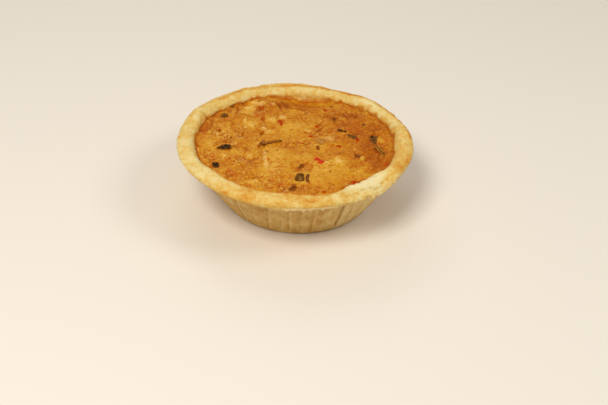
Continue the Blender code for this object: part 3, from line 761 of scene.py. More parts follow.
def rim_place(radius, height, angle):
    """A point of the rim: waved, grained, flat at the front right and hanging over there."""
    outside = smooth(CREST_RADIUS, RIM_RADIUS, radius)
    raised = smooth(HOLLOW_TOP_HEIGHT, HEIGHT, height)
    along = math.radians(angle) * CREST_RADIUS
    rough = RIM_GRAIN * grain(Vector((radius, along, height)), RIM_GRAIN_LENGTH)
    step = STEP_SIZE * thicker(angle) * outside
    out = waves(angle, RADIUS_WAVES) * outside + hollow_shift(angle, height) * (1.0 - outside) + step
    up = waves(angle, CREST_WAVES) - FLAT_SINK * flat_stretch(angle) + rough + step
    low = outside * (1.0 - smooth(RIM_WIDEST_HEIGHT, RIM_WIDEST_HEIGHT + HANG_BAND, height))
    hanging = low * ledge_scraps(angle) * MM
    radius += out + rough * outside + HANG_OUT * hanging
    return radius, height + up * raised - HANG_DROP * hanging


print("crest at the back, mm:", [round(value / MM, 1) for value in rim_place(0.0576, 0.0348, 90.0)])

# %% [markdown]
# ## Placing the torn lip
# Under the rim the dough was trimmed, and cut dough tears. The lip goes in and out in long waves
# and short ones, and small teeth of dough hang from it. Where it was cut widest, a pale ledge
# of raw-looking dough shows.

# %% Shell: the lip's places
LIP_TEAR, LIP_TEAR_LENGTH = 0.45 * MM, 4.0 * MM

# Scraps of dough that hang from the lip: angle, half width in degrees, and drop in mm.
LIP_TEETH = (
    (-98.5, 1.6, 0.4), (-92.5, 2, 1), (-89, 1.2, 0.6), (-84.8, 1.3, 1.1), (-81.8, 0.9, 0.7),
    (-76, 0.8, 1.3), (-73.8, 0.6, 0.8), (-70, 2.2, 1), (-59, 1.6, 0.6), (-53, 1.4, 1), (-47, 2, 0.9),
    (-42, 1.2, 1.2), (-37, 1.6, 0.8), (-31, 1.2, 0.6),
)

# Where the cut dough shows, as swells: the front, and the thick ledge at the front right.
CUT_DOUGH = ((-82.0, 25.0, 1.2), (-45.0, 26.0, 0.85))


def lip_share(angle):
    """How much cut dough shows at an angle, from 0 to 1."""
    return min(swells(angle, CUT_DOUGH), 1.0)


def lip_place(radius, height, angle, share):
    """A point of the lip, where share is 0 at the wall and 1 under the rim."""
    along = math.radians(angle) * LIP_EDGE_RADIUS
    tear = LIP_TEAR * ripple(along / LIP_TEAR_LENGTH, 3.7)
    ragged = 0.5 * MM * ripple(along / (1.5 * MM), 9.1, 2.0 * share)
    ragged += 0.25 * MM * ripple(along / (0.7 * MM), 4.4, 4.0 * share)
    torn = ledge_scraps(angle) * MM
    tooth = swells(angle, LIP_TEETH) * MM
    loose = 1.0 - share
    radius += waves(angle, RADIUS_WAVES) + tear * loose + ragged * (0.4 + lip_share(angle))
    radius += HANG_OUT * torn * (0.5 + 0.5 * share)
    height += (tear - lip_drop(angle) - tooth + 0.8 * ragged) * loose - HANG_DROP * torn
    return radius, height


print("lip in front, mm:", [round(value / MM, 1) for value in lip_place(0.062, 0.031, -90.0, 0.0)])

# %% [markdown]
# ## Placing the wall, and choosing the rule
# The wall is let in at its creases, less and less towards the foot. One function picks each
# point's rule by its zone. The wall and the foot also stand a little to the right of the rim.

# %% Shell: the wall's places


def wall_place(radius, height, angle):
    """A point of the wall or the foot: let in at its creases, and waved as the rim is on top."""
    strength = smooth(CREASE_START, CREASE_FULL, height)
    top = smooth(0.8 * WALL_TOP, WALL_TOP, height)
    radius += flute(angle, height) * strength + waves(angle, RADIUS_WAVES) * top
    return radius, height - lip_drop(angle) * top


def shell_place(radius, height, angle, zone, share):
    """Where a point of the plain shell goes, by the rule of its zone."""
    if zone == RIM:
        return rim_place(radius, height, angle)
    if zone == LIP:
        return lip_place(radius, height, angle, share)
    if zone == HOLLOW:
        return radius + hollow_shift(angle, height), height
    return wall_place(radius, height, angle)


def foot_shift(height, zone):
    """How far to the right a point of the foot or the wall stands: less higher up."""
    if zone not in (FOOT, WALL):
        return 0.0
    return FOOT_SHIFT * (1.0 - 0.5 * smooth(0.0, WALL_TOP, height))


print("wall's top stands to the right by mm:", round(foot_shift(WALL_TOP, WALL) / MM, 2))

# %% [markdown]
# ## The rim's relief
# Close up, baked dough has soft dents, flakes, small pits and fine pores, and a few cracks where
# it dried or was folded. Each is one term of a sum. Cracks lie between two ends, wander a little
# on the way and run out at both.

# %% Shell: cracks and relief of the rim
# Cracks in the rim: angle and radius in mm at both ends, half width in mm, depth in mm.
RIM_CRACKS = (
    (-27, 56.5, -20, 60.5, 0.3, 0.25), (-31, 54, -27, 56.5, 0.3, 0.25),
    (-84, 60.5, -78, 61.5, 0.25, 0.3), (-98, 59, -95, 61, 0.25, 0.3),
    (-118, 60, -113, 60.5, 0.25, 0.25), (62, 58, 66, 61, 0.25, 0.3), (142, 58.5, 147, 60.5, 0.25, 0.25),
    (-65, 60.6, -57.5, 59.4, 0.35, 0.5), (-58, 59.4, -50, 59, 0.35, 0.55),
    (-51, 59.3, -43, 59.2, 0.35, 0.55), (-44, 59.1, -35, 59.8, 0.35, 0.5),
    (-50, 60.8, -41, 61.3, 0.3, 0.45),
)
CRACK_REACH = 8.0

# Layers of grain: height and size in mm, and a seed.
RIM_GRAINS = ((0.22, 6.5, 1.0), (0.14, 2.8, 2.0), (0.08, 1.3, 3.0), (0.05, 0.75, 4.0))
RIM_WARP, RIM_WARP_SIZE = 1.2 * MM, 5.0 * MM
FLAKE_HEIGHT, FLAKE_SIZE = 0.12 * MM, 4.2 * MM
PIT_DEPTH, PIT_SIZE = 0.2 * MM, 1.6 * MM
PLEAT_HEIGHT, PLEAT_SIZE = 0.1 * MM, 1.9 * MM
SCRAP_HEIGHT, SCRAP_SIZE = 0.4 * MM, 3.4 * MM


def rim_crack(angle, radius):
    """How deep a crack is at a place on the rim, in metres."""
    deep = 0.0
    here = round_middle(radius / MM, angle)
    for from_angle, from_radius, to_angle, to_radius, half_width, depth in RIM_CRACKS:
        if abs(turn_between(angle, 0.5 * (from_angle + to_angle))) > CRACK_REACH:
            continue
        start = round_middle(from_radius, from_angle)
        span = round_middle(to_radius, to_angle) - start
        share = min(max((here - start).dot(span) / span.length_squared, 0.0), 1.0)
        wander = 0.5 * ripple(5.0 * share, from_angle)
        away = abs((here - start - share * span).length - abs(wander))
        tapered = math.sin(math.pi * min(share + 0.15, 1.0))
        deep = max(deep, depth * MM * fade(half_width, away) * tapered)
    return deep


def rim_relief(place, angle):
    """Dents, flakes, pits, pores, pleats, scraps and cracks of the rim, in metres."""
    turn, radius = math.radians(angle), place.xy.length
    warped = place + RIM_WARP * noise.noise_vector(place / RIM_WARP_SIZE)
    rough = grains(place, RIM_GRAINS)
    rough += FLAKE_HEIGHT * smooth(-0.05, 0.05, grain(warped, FLAKE_SIZE, 6.0))
    rough -= PIT_DEPTH * smooth(0.45, 0.65, grain(place, PIT_SIZE, 7.0))
    around = Vector((turn * CREST_RADIUS, 0.15 * radius, 0.15 * place.z))
    inner = 1.0 - smooth(55.5 * MM, 58.5 * MM, radius)
    pleats = PLEAT_HEIGHT * grain(around, PLEAT_SIZE, 9.0) * inner
    torn = Vector((turn * RIM_RADIUS, 2.4 * radius, 2.4 * place.z))
    ledge = swell(angle, -46.0, 24.0) * smooth(58.6 * MM, 60.6 * MM, radius)
    scraps = SCRAP_HEIGHT * ledge * smooth(-0.06, 0.06, grain(torn, SCRAP_SIZE, 12.0))
    smoothed = 1.0 - 0.5 * flat_stretch(angle)
    return rough * smoothed + pleats + scraps - rim_crack(angle, radius)


print("a crack at the front right, mm deep:", round(rim_crack(-54.0, 59.2 * MM) / MM, 2))

# %% [markdown]
# ## Relief of the wall and the hollow
# The mould left shallow upright streaks on the wall. A noise that is read with its height
# squeezed gives those, because it then changes ten times slower upwards. The hollow's wall has
# fainter pleats of the same kind, and both fade out where nobody looks.

# %% Shell: relief of the wall and the hollow
WALL_STREAKS = ((0.09, 1.6, 2.0), (0.16, 5.0, 5.0))
WALL_GRAINS = ((0.05, 1.2, 3.0), (0.12, 7.0, 8.0))


def wall_relief(place, angle):
    streak = Vector((place.x, place.y, 0.1 * place.z))
    relief = grains(streak, WALL_STREAKS) + grains(place, WALL_GRAINS) + fold(angle, place.z)[1]
    return relief * smooth(CREASE_START, CREASE_FULL, place.z)


def hollow_relief(place):
    streak = Vector((place.x, place.y, 0.15 * place.z))
    relief = 0.12 * MM * grain(streak, 2.2 * MM, 6.0) + 0.05 * MM * grain(place, 1.0 * MM, 3.0)
    return relief * smooth(20.0 * MM, 27.0 * MM, place.z)


print("wall's relief in front, mm:", round(wall_relief(Vector((0.0, -0.053, 0.02)), -90.0) / MM, 3))

# %% [markdown]
# ## How baked each place is, and painted light
# An oven browns what stands highest and nearest its wall, so the rim runs from pale dough to
# brown in patches. They are laid out by angle and by how far across the rim they lie, and the pale
# one at 46 degrees is a painted highlight. The wall gets painted light and shade. Above the
# filling, juice ran against the crust and stained it, most at the back.

# %% Shell: baking, painted light and stain
# Browned or pale places of the rim: angle, share from the outer side (0) to the inner side (1),
# half width in degrees, half width in share, and amount. The pale place at 46 degrees is a
# painted highlight, for glints on the crumbly flakes there.
RIM_BAKING_AND_HIGHLIGHT = (
    (-150, 0.45, 44, 0.7, -0.17), (-125, 0.1, 12, 0.25, 0.16), (-112, 0.25, 8, 0.6, 0.26),
    (-100, 0.1, 9, 0.25, 0.1), (-98.5, 0.4, 6, 0.5, -0.12), (-88, 0.5, 40, 1, 0.22),
    (-88, 0.12, 9, 0.3, -0.08), (-82.4, 0.5, 3, 0.5, -0.14), (-76, 0.15, 9, 0.35, 0.12),
    (-69.5, 0.35, 3, 0.5, -0.26), (-65.4, 0.25, 2.5, 0.5, 0.16), (-47, 0.6, 20, 1, -0.5),
    (-57, 0.3, 8, 0.14, 0.12), (-58, 0.55, 9, 0.4, -0.25), (-47, 0.27, 8, 0.12, 0.3),
    (-38, 0.3, 9, 0.14, 0.26), (-27, 0.3, 8, 0.3, 0.16), (-37, 0.2, 9, 0.3, 0.2),
    (-50, 0.1, 12, 0.2, 0.2), (-17, 0.15, 14, 0.3, 0.2), (-8, 0.45, 26, 0.7, 0.14),
    (12, 0.15, 22, 0.3, 0.4), (35, 0.25, 24, 0.3, 0.45), (46, 0.45, 12, 0.25, -0.22),
    (62, 0.38, 26, 0.22, 0.45), (92, 0.42, 24, 0.16, 0.5), (125, 0.42, 26, 0.16, 0.36),
    (154, 0.3, 20, 0.2, 0.2), (40, 0.7, 22, 0.3, -0.14), (30, 1, 50, 0.35, 0.22),
    (75, 1, 34, 0.35, 0.12), (-168, 1, 18, 0.35, 0.26), (158, 0.9, 14, 0.35, 0.2),
    (98, 0.65, 40, 0.5, -0.1), (-92, 1, 34, 0.2, 0.14),
)

# How many mm higher than its least the stain climbs, as swells.
LEAST_STAIN = 0.8
STAINED = ((88.0, 45.0, 2.4), (175.0, 40.0, 1.4), (5.0, 45.0, 1.2), (45.0, 30.0, 2.4))


def rim_baking_and_highlight(angle, share):
    """How browned the rim is, share 0 outside to 1 inside, with one painted highlight."""
    return sum(
        amount * swell(angle, centre, half_width) * fade(depth, abs(share - middle))
        for centre, middle, half_width, depth, amount in RIM_BAKING_AND_HIGHLIGHT
    )


def wall_painted_light_and_shade(angle, height):
    """Painted light and shade: the wall paler at the front right, darker under the rim at -113."""
    high = smooth(0.4 * WALL_TOP, 0.85 * WALL_TOP, height)
    return 0.3 * high * swell(angle, -113.0, 6.0) - 0.55 * swell(angle, -48.0, 24.0)


def stain_height(angle):
    """How high the filling browned the crust above it: most at the back, least in front."""
    return (LEAST_STAIN + swells(angle, STAINED)) * MM


def stain(place, angle):
    """How stained the crust is at a place, from 0 to 1, fading out above the filling's edge."""
    above = place.z - filling_top(*(place.xy * (reach_at(angle) / place.xy.length)))
    climb = stain_height(angle) * (1.0 + 1.3 * grain(place, 4.0 * MM, 8.0))
    return fade(max(climb, 0.4 * MM), above)


print("stain at the back and in front, mm:", [round(stain_height(a) / MM, 1) for a in (90.0, -90.0)])

# %% [markdown]
# ## The shell, placed and marked
# The first pass puts every vertex of the plain shell in its place. The second raises the relief
# along the normals, and paints what the pastry's material reads: how baked a place is, with
# painted light and shade on the wall, its relief, the lip's cut dough, where the wall is, the folds
# with painted shade in them, in the cracks and under the rim, and the stain.

# %% Shell: mesh and painted marks


def placed_shell():
    """The spun shell with every vertex moved by its zone's rule."""
    body = spun_shell()
    zone = body.verts.layers.int["zone"]
    share = body.verts.layers.float["share"]
    for vert in body.verts:
        radius = math.hypot(vert.co.x, vert.co.y)
        if radius < HOLLOW_FLOOR_RADIUS + 0.1 * MM:
            continue
        angle = angle_at(vert.co.x, vert.co.y)
        new_radius, height = shell_place(radius, vert.co.z, angle, vert[zone], vert[share])
        stretch = new_radius / radius
        across = foot_shift(vert.co.z, vert[zone])
        vert.co = (vert.co.x * stretch + across, vert.co.y * stretch, height)
    body.normal_update()
    return body


def shell_mesh():
    body = placed_shell()
    zone = body.verts.layers.int["zone"]
    share = body.verts.layers.float["share"]
    layers = painted(body, "baked", "relief", "cut", "wall", "crease", "stain")
    baked, relief, cut, wall, crease, stained = layers
    for vert in body.verts:
        at, across = vert[zone], vert[share]
        place = vert.co - Vector((foot_shift(vert.co.z, at), 0.0, 0.0))
        angle = angle_at(place.x, place.y)
        if at == RIM:
            vert.co += vert.normal * rim_relief(place, angle)
            vert[baked] = rim_baking_and_highlight(angle, across)
            vert[relief] = rim_relief(place, angle) / (0.25 * MM)
            # A crack's depth is painted as shade in the crack.
            vert[crease] = min(rim_crack(angle, place.xy.length) / (0.4 * MM), 1.0)
        elif at == LIP:
            vert[cut] = lip_share(angle) * (1.0 if 0.1 < across < 0.7 else 0.35)
            vert[wall] = 1.0 if across == 0.0 else 0.0
            vert[baked] = rim_baking_and_highlight(angle, 0.0)
            # Painted shade under the rim, where no cut dough shows.
            vert[crease] = 0.8 * (1.0 - lip_share(angle)) * (1.0 - across)
        elif at == HOLLOW:
            vert.co += vert.normal * hollow_relief(place)
            vert[baked] = rim_baking_and_highlight(angle, 1.0)
        elif at == WALL or place.z > 0.0:
            vert.co += vert.normal * wall_relief(place, angle)
            vert[wall] = 1.0
            groove, ridge = fold(angle, place.z)
            # Painted shade: dark in each fold's groove, and darker at the wall's top under the rim,
            # most at the front left.
            vert[crease] = groove * smooth(CREASE_START, CREASE_FULL, place.z)
            vert[crease] += smooth(0.65, 1.0, across) * (0.12 + 0.6 * swell(angle, -118.0, 26.0))
            # The wall's painted light and shade, and a painted highlight on each fold's raised side.
            vert[baked] = wall_painted_light_and_shade(angle, place.z) - 0.8 * max(ridge, 0.0) / FOLD_LIFT
        else:
            vert[wall] = 1.0
        if at in (RIM, HOLLOW) and HOLLOW_FLOOR_RADIUS < place.xy.length < CREST_RADIUS:
            vert[stained] = stain(place, angle)
    return body


shell = finished(shell_mesh(), "pie_shell")
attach(shell, "root")
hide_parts("crust")

# %% [markdown]
# ## Flecks in the filling
# The bits in the filling are what make it this pie. Each is a small pad cut from a grid, rounded
# off, made ragged, laid on the skin and closed underneath, so it follows every bump below it.
# Flat scraps of leaf, thick bits of pepper and soft lumps differ only in their edge and dome.
# One object holds each kind, because each kind has one material.

# %% Flecks: a ragged pad that follows the skin
PAD_SUNK = 0.45 * MM


def pad(
    body, x, y, length, width, turn, lift, seed,
    ragged=0.3, buried=0.12 * MM, rough=0.25 * MM, divisions=14,
):
    """Adds a pad at x, y that rises by lift in its middle and dips under the skin at its edge."""
    made = bmesh.ops.create_grid(body, x_segments=divisions, y_segments=divisions, size=1.0)["verts"]
    spin = Matrix.Rotation(math.radians(turn), 2)
    offset = Vector((seed, 0.7 * seed, 0.0))
    edge = body.verts.layers.float["edge"]
    for vert in made:
        across = Vector((*rounded(vert.co.x, vert.co.y), 0.0))
        out = across.length
        bent = across + ragged * noise.noise_vector(1.1 * across + offset)
        flat = spin @ Vector((0.5 * length * bent.x, 0.5 * width * bent.y))
        spot = Vector((x + flat.x, y + flat.y, 0.0))
        bulge = (lift + buried) * (1.0 - out**4) - buried
        bulge += rough * (0.7 * grain(spot, 1.3 * MM, seed) + 0.4 * grain(spot, 0.6 * MM, seed + 3.0))
        vert.co = (spot.x, spot.y, filling_top(spot.x, spot.y) + bulge)
        vert[edge] = out
    edges = [edge for edge in body.edges if edge.is_boundary]
    lowered = bmesh.ops.extrude_edge_only(body, edges=edges)["geom"]
    for vert in of_kind(lowered, bmesh.types.BMVert):
        vert.co.z = filling_top(vert.co.x, vert.co.y) - PAD_SUNK
    bmesh.ops.contextual_create(body, geom=of_kind(lowered, bmesh.types.BMEdge))


def fleck_piece(name, pads, **look):
    """One object of many pads: each is x, y, length, width and turn, in mm and degrees."""
    body = bmesh.new()
    body.verts.layers.float.new("edge")
    for seed, (x, y, length, width, turn) in enumerate(pads):
        pad(body, x * MM, y * MM, length * MM, width * MM, turn, seed=3.7 * seed + len(name), **look)
    bmesh.ops.recalc_face_normals(body, faces=body.faces)
    piece = finished(body, name, sharp_angle=50.0)
    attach(piece, "root")
    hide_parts("filling")
    return piece


print("a fleck's edge is sunk by mm:", round(PAD_SUNK / MM, 2))

# %% [markdown]
# ## The larger flecks
# Leaves, pepper, browned scraps, the pale bit of crawfish and a yellow one each lie at their own
# place. A leaf is thin and lies flat, pepper stands up more, and the meat is a rough soft lump,
# so it is divided more finely.

# %% Flecks: the larger ones
# Each is x, y, length, width and turn, in mm and degrees.
LEAVES = (
    (-36.4, -6.4, 7.6, 6.2, 8), (-39.7, -7.2, 3.8, 2.8, 5), (-40.5, -23.9, 4.2, 8, 8),
    (24.5, 15.8, 4.1, 3.6, -14), (26.9, 14.4, 2.4, 1.8, -40), (41.6, 10, 2.4, 2.4, 0),
)
BROWNED_LEAVES = (
    (-36.6, 38, 3.2, 6.4, 12), (-40.1, 27, 5.2, 5.2, 0), (37.8, 21.6, 2, 3.6, 10),
    (42.4, 9.6, 6, 4.6, 0), (42.6, 7.2, 4.6, 5.4, 0), (42.9, 4.6, 2.8, 4, -4),
    (30.6, 10.2, 5, 5.6, -45), (32.2, 8.4, 4.4, 5, -45), (27.4, 15.6, 2.4, 3, -40),
    (-34.6, 3.9, 1.6, 2.6, 0), (-4.6, -43.4, 0.9, 2.4, 0),
)
PEPPERS = (
    (-8.6, 23, 3.1, 5.2, 14), (-7.8, 20.2, 2.2, 4, -8), (-19.6, 37.8, 2.6, 2.6, 0),
    (16.3, 38.6, 2.4, 3.8, 8), (33.4, 7.2, 2.6, 4.4, 18), (23.4, -1.2, 3.6, 2.4, 0),
    (8.4, 7.9, 2.4, 2.4, 20), (4.2, 0.1, 2.2, 2.2, -20), (30.6, -35, 4, 3, 40),
    (15.3, -45.2, 2.8, 2.2, 5), (11.6, 19.5, 2.8, 2.2, 0),
)
DARK_SCRAPS = (
    (-0.3, -43.1, 4, 7.2, -14), (3.6, -22, 2.6, 7, -34), (33.3, -10.2, 4.6, 4.6, -20),
    (31.9, -7.7, 1.8, 1.4, 30), (21.4, 28.3, 3.6, 5, -15), (12.4, -3.2, 2.2, 5.2, 6),
    (19.9, 43.4, 2.2, 2.2, 0),
)
LARGE_PEPPERS = ((12.2, -15.2, 4.4, 4.2, -35.0), (14.0, -17.5, 4.2, 4.4, -42.0))
MEAT = ((13.9, 2.6, 7.6, 8.0, 20.0),)
CORN = ((35.9, -12.4, 2.8, 4.8, -12.0),)

leaves = fleck_piece("leaf_flecks", LEAVES, lift=0.4 * MM, buried=0.1 * MM)
browned_leaves = fleck_piece(
    "browned_leaves", BROWNED_LEAVES, lift=0.2 * MM, rough=0.35 * MM, ragged=0.4
)
large_pepper = fleck_piece("large_pepper", LARGE_PEPPERS, lift=0.6 * MM)
peppers = fleck_piece("pepper_flecks", PEPPERS, lift=0.3 * MM)
dark_scraps = fleck_piece("dark_flecks", DARK_SCRAPS, lift=0.2 * MM, rough=0.35 * MM, ragged=0.4)
meat = fleck_piece("crawfish_bit", MEAT, lift=0.4 * MM, rough=0.6 * MM, ragged=0.5, divisions=22)
corn = fleck_piece("yellow_bit", CORN, lift=0.8 * MM, ragged=0.25)

# %% [markdown]
# ## Small scraps
# Between the named flecks lie many small ones. A seeded rule drops them clear of the large ones
# and of each other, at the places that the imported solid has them. The finest specks, too small
# for the solid, come from a second draw. Three in a row of the scraps are herb, pepper and brown.

# %% Flecks: small scraps and specks
SMALL_FLECKS, SMALL_REACH, SMALL_CLEARANCE, SMALL_SEED = 26, 46.0 * MM, 4.5 * MM, 12
SPECK_REACH, SPECK_CLEARANCE = 51.0, 1.5

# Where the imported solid's larger flecks lie, in mm. Its draw of small scraps kept clear of them.
PART_FLECKS = (
    (-37.2, -5.2), (-40.7, -23.3), (3.5, -31.5), (7.6, -32.2), (24.2, 17.7), (26.6, 15.9),
    (30.6, 10.6), (42.1, 11.1), (44.0, -1.0), (46.2, -3.2), (-35.5, 35.9), (-40.1, 27.7),
    (-13.4, 1.4), (-0.3, -43.2), (4.4, -21.0), (33.8, -9.5), (12.6, -14.7), (-8.2, 23.5),
    (-19.7, 38.4), (16.3, 39.0), (21.6, 28.3), (33.3, 7.5), (23.6, -0.7), (8.3, 7.9),
    (4.4, 0.4), (15.2, 3.4), (31.2, -36.0), (15.2, -45.0),
)


def scattered_scraps():
    """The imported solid's small scraps: x, y, length, width in mm, and turn."""
    rng = random.Random(SMALL_SEED)
    taken = [(x * MM, y * MM) for x, y in PART_FLECKS]
    made = []
    while len(made) < SMALL_FLECKS:
        x = rng.uniform(-SMALL_REACH, SMALL_REACH)
        y = rng.uniform(-SMALL_REACH, SMALL_REACH)
        size = rng.uniform(1.5 * MM, 2.3 * MM)
        turn = rng.uniform(0.0, 180.0)
        clear = all(math.dist((x, y), other) > SMALL_CLEARANCE for other in taken)
        if clear and math.hypot(x, y) < SMALL_REACH:
            taken.append((x, y))
            made.append((x / MM, y / MM, size / MM, 0.6 * size / MM, turn))
    return made


def fine_specks(count, seed, smallest, largest):
    """Specks drawn all over the filling: x, y, length, width in mm, and turn."""
    rng = random.Random(seed)
    made = []
    while len(made) < count:
        x, y = rng.uniform(-SPECK_REACH, SPECK_REACH), rng.uniform(-SPECK_REACH, SPECK_REACH)
        length = rng.uniform(smallest, largest)
        turn = rng.uniform(0.0, 180.0)
        if math.hypot(x, y) < reach_at(angle_at(x, y)) / MM - SPECK_CLEARANCE:
            made.append((x, y, length, length * rng.uniform(0.45, 0.8), turn))
    return made


scraps = scattered_scraps()
herb_scraps = fleck_piece("herb_scraps", scraps[0::3], lift=0.14 * MM, ragged=0.5, divisions=8)
pepper_scraps = fleck_piece("pepper_scraps", scraps[1::3], lift=0.18 * MM, ragged=0.5, divisions=8)
brown_scraps = fleck_piece("brown_scraps", scraps[2::3], lift=0.18 * MM, ragged=0.5, divisions=8)
herb_specks = fleck_piece("herb_specks", fine_specks(50, 4, 0.6, 1.1), lift=0.08 * MM, divisions=5)
pepper_specks = fleck_piece("pepper_specks", fine_specks(90, 8, 0.6, 1.5), lift=0.1 * MM, divisions=5)

# %% [markdown]
# ## Stalks
# A stalk is a cone cut into short lengths, laid along the skin and bent a little. Each is made
# alone, because its shape is worked out from the cone's own axis, and then copied in.

# %% Stalks
STALK_SIDES, STALK_CUTS = 12, 20


def stalk(x, y, length, width, turn, bow, seed):
    """A stalk that lies on the skin, a third sunk, with ribs along it. Sizes in mm."""
    body = bmesh.new()
    thick, thin = 0.5 * width * MM, 0.4 * width * MM
    bmesh.ops.create_cone(
        body, cap_ends=True, segments=STALK_SIDES, radius1=thick, radius2=thin, depth=length * MM
    )
    long_edges = [e for e in body.edges if abs(e.verts[0].co.z - e.verts[1].co.z) > MM]
    bmesh.ops.subdivide_edges(body, edges=long_edges, cuts=STALK_CUTS)
    spin = Matrix.Rotation(math.radians(turn), 2)
    for vert in body.verts:
        along, side, up = vert.co.z, vert.co.y, vert.co.x
        share = 2.0 * along / (length * MM)
        rib = 1.0 + 0.18 * math.sin(5.0 * math.atan2(up, side))
        rib += 0.15 * ripple(along / (1.2 * MM), seed)
        middle = Vector((x * MM, y * MM)) + spin @ Vector((along, bow * MM * (1.0 - share * share)))
        spot = middle + spin @ Vector((0.0, side * rib))
        bed = 0.6 * filling_form(middle.x, middle.y) + 0.4 * filling_top(middle.x, middle.y)
        vert.co = (spot.x, spot.y, bed + 0.2 * width * MM + up * rib)
    bmesh.ops.recalc_face_normals(body, faces=body.faces)
    return body


def stalk_piece(name, stalks):
    """One object of many stalks, each made alone and copied in."""
    body = bmesh.new()
    for seed, shape in enumerate(stalks):
        part = stalk(*shape, seed=2.3 * seed)
        mesh = bpy.data.meshes.new("part")
        part.to_mesh(mesh)
        part.free()
        body.from_mesh(mesh)
        bpy.data.meshes.remove(mesh)
    piece = finished(body, name)
    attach(piece, "root")
    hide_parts("filling")
    return piece


BROWN_STEM = ((-11.9, 0.3, 10.4, 1.6, 24.0, -0.3), (-17.0, -2.0, 3.2, 3.0, 66.0, 0.0))
GREEN_STALKS = ((44.6, -4.2, 11.0, 0.9, -66.0, 0.3), (46.5, -2.8, 10.2, 0.8, -66.5, -0.4))
brown_stem = stalk_piece("brown_stem", BROWN_STEM)
green_stalks = stalk_piece("green_stalks", GREEN_STALKS)

# %% [markdown]
# ## The onion ring
# The ring of onion green is a small circle spun round, squeezed to an oval and laid on the skin,
# with a thin pad inside it for the leaf's own wall and a strip of two pads beside it.

# %% The onion ring
RING_SIDES, RING_STEPS = 10, 48


def ring_mesh(x, y, half_length, half_width, thick, turn):
    """A ring of onion green on the skin. Sizes in mm."""
    body = bmesh.new()
    section = bmesh.ops.create_circle(body, segments=RING_SIDES, radius=thick * MM)["verts"]
    bmesh.ops.rotate(body, matrix=Matrix.Rotation(math.pi / 2, 3, "X"), verts=section)
    bmesh.ops.translate(body, vec=(half_length * MM, 0.0, 0.0), verts=section)
    spun(body, list(body.verts) + list(body.edges), RING_STEPS)
    spin = Matrix.Rotation(math.radians(turn), 2)
    for vert in body.verts:
        around = vert.co.xy.normalized()
        middle = half_length * MM * Vector((around.x, around.y, 0.0))
        fuller = 0.75 + 0.75 * max(around.y, 0.0) + 0.3 * max(around.x, 0.0)
        vert.co = middle + (vert.co - middle) * fuller
        square = 1.0 / (abs(around.x) ** 4 + abs(around.y) ** 4) ** 0.25
        wobble = 1.0 + 0.35 * grain(vert.co, 2.2 * MM, 3.0) + 0.2 * grain(vert.co, 0.8 * MM, 5.0)
        wobble *= square
        flat = spin @ Vector((vert.co.x * wobble, vert.co.y * wobble * half_width / half_length))
        spot = Vector((x * MM + flat.x, y * MM + flat.y, 0.0))
        sunk = 0.9 * MM * grain(spot, 2.4 * MM, 8.0) - 0.1 * MM
        vert.co = (spot.x, spot.y, filling_top(spot.x, spot.y) + sunk + vert.co.z * wobble)
    bmesh.ops.recalc_face_normals(body, faces=body.faces)
    return body


onion = finished(ring_mesh(3.5, -33.0, 2.5, 1.7, 0.66, 92.0), "onion_ring")
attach(onion, "root")
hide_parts("filling")
onion_side = fleck_piece(
    "onion_strip", ((7.1, -31.7, 2.3, 5.4, -8.0), (7.1, -35.2, 2.2, 5.4, 10.0)), lift=0.3 * MM
)
onion_wall = fleck_piece("onion_wall", ((3.5, -33.0, 3.0, 5.0, 0.0),), lift=0.25 * MM, rough=0.5 * MM)

# %% [markdown]
# ## Crumbs on the lip
# Cut dough sheds crumbs. They sit where the lip was torn, thickest at the front, and each is an
# icosphere pushed in and out by noise. Only a few dozen faces each, as there are many.

# %% Crumbs
CRUMB_SEED = 21
CRUMB_COUNT = 260


def crumb(body, place, size, seed):
    """Adds one crumb: a small ball, squashed, turned and made rough."""
    made = bmesh.ops.create_icosphere(body, subdivisions=2, radius=0.5 * size)["verts"]
    squash = Vector((1.0, 0.75 + 0.2 * math.sin(seed), 0.8))
    turn = Matrix.Rotation(seed, 3, "Z")
    for vert in made:
        rough = 1.0 + 0.45 * noise.noise(vert.co / (0.45 * size) + Vector((seed, 0.0, 0.0)))
        vert.co = place + turn @ (vert.co * rough * squash)


def crumbs_mesh():
    rng = random.Random(CRUMB_SEED)
    body = bmesh.new()
    for count in range(CRUMB_COUNT):
        far, front = rng.uniform(-180.0, 180.0), rng.gauss(-80.0, 16.0)
        angle = rng.choice((far, front, rng.gauss(-45.0, 14.0)))
        size = rng.uniform(0.35, 0.95) * MM
        share = rng.uniform(0.0, 0.6)
        radius, height = lip_place(LIP_EDGE_RADIUS, LIP_EDGE_HEIGHT, angle, share)
        place = round_middle(radius, angle, height + rng.uniform(-0.2, 0.3) * MM)
        crumb(body, place, size, 1.3 * count)
    bmesh.ops.recalc_face_normals(body, faces=body.faces)
    return body


crumbs = finished(crumbs_mesh(), "lip_crumbs")
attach(crumbs, "root")
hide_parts("crust")

# %% [markdown]
# ## Writing shader maths as plain sums
# A node tree is hard to read as code, so a small class stands for one output socket and turns
# +, - and * into Math nodes. Colours are written as a screen shows them, and turned into the
# linear values that shaders work with.

# %% Sums of sockets, and colours


class Wire:
    """One output socket. Sums and products with it add Math nodes to its material."""

    def __init__(self, finish, socket):
        self.finish = finish
        self.socket = socket

    def maths(self, operation, first, second):
        return self.finish.node("ShaderNodeMath", {"operation": operation}, {0: first, 1: second})

    def __add__(self, other):
        return self.maths("ADD", self, other)

    def __radd__(self, other):
        return self.maths("ADD", other, self)

    def __sub__(self, other):
        return self.maths("SUBTRACT", self, other)

    def __rsub__(self, other):
        return self.maths("SUBTRACT", other, self)

    def __mul__(self, other):
        return self.maths("MULTIPLY", self, other)

    def __rmul__(self, other):
        return self.maths("MULTIPLY", other, self)


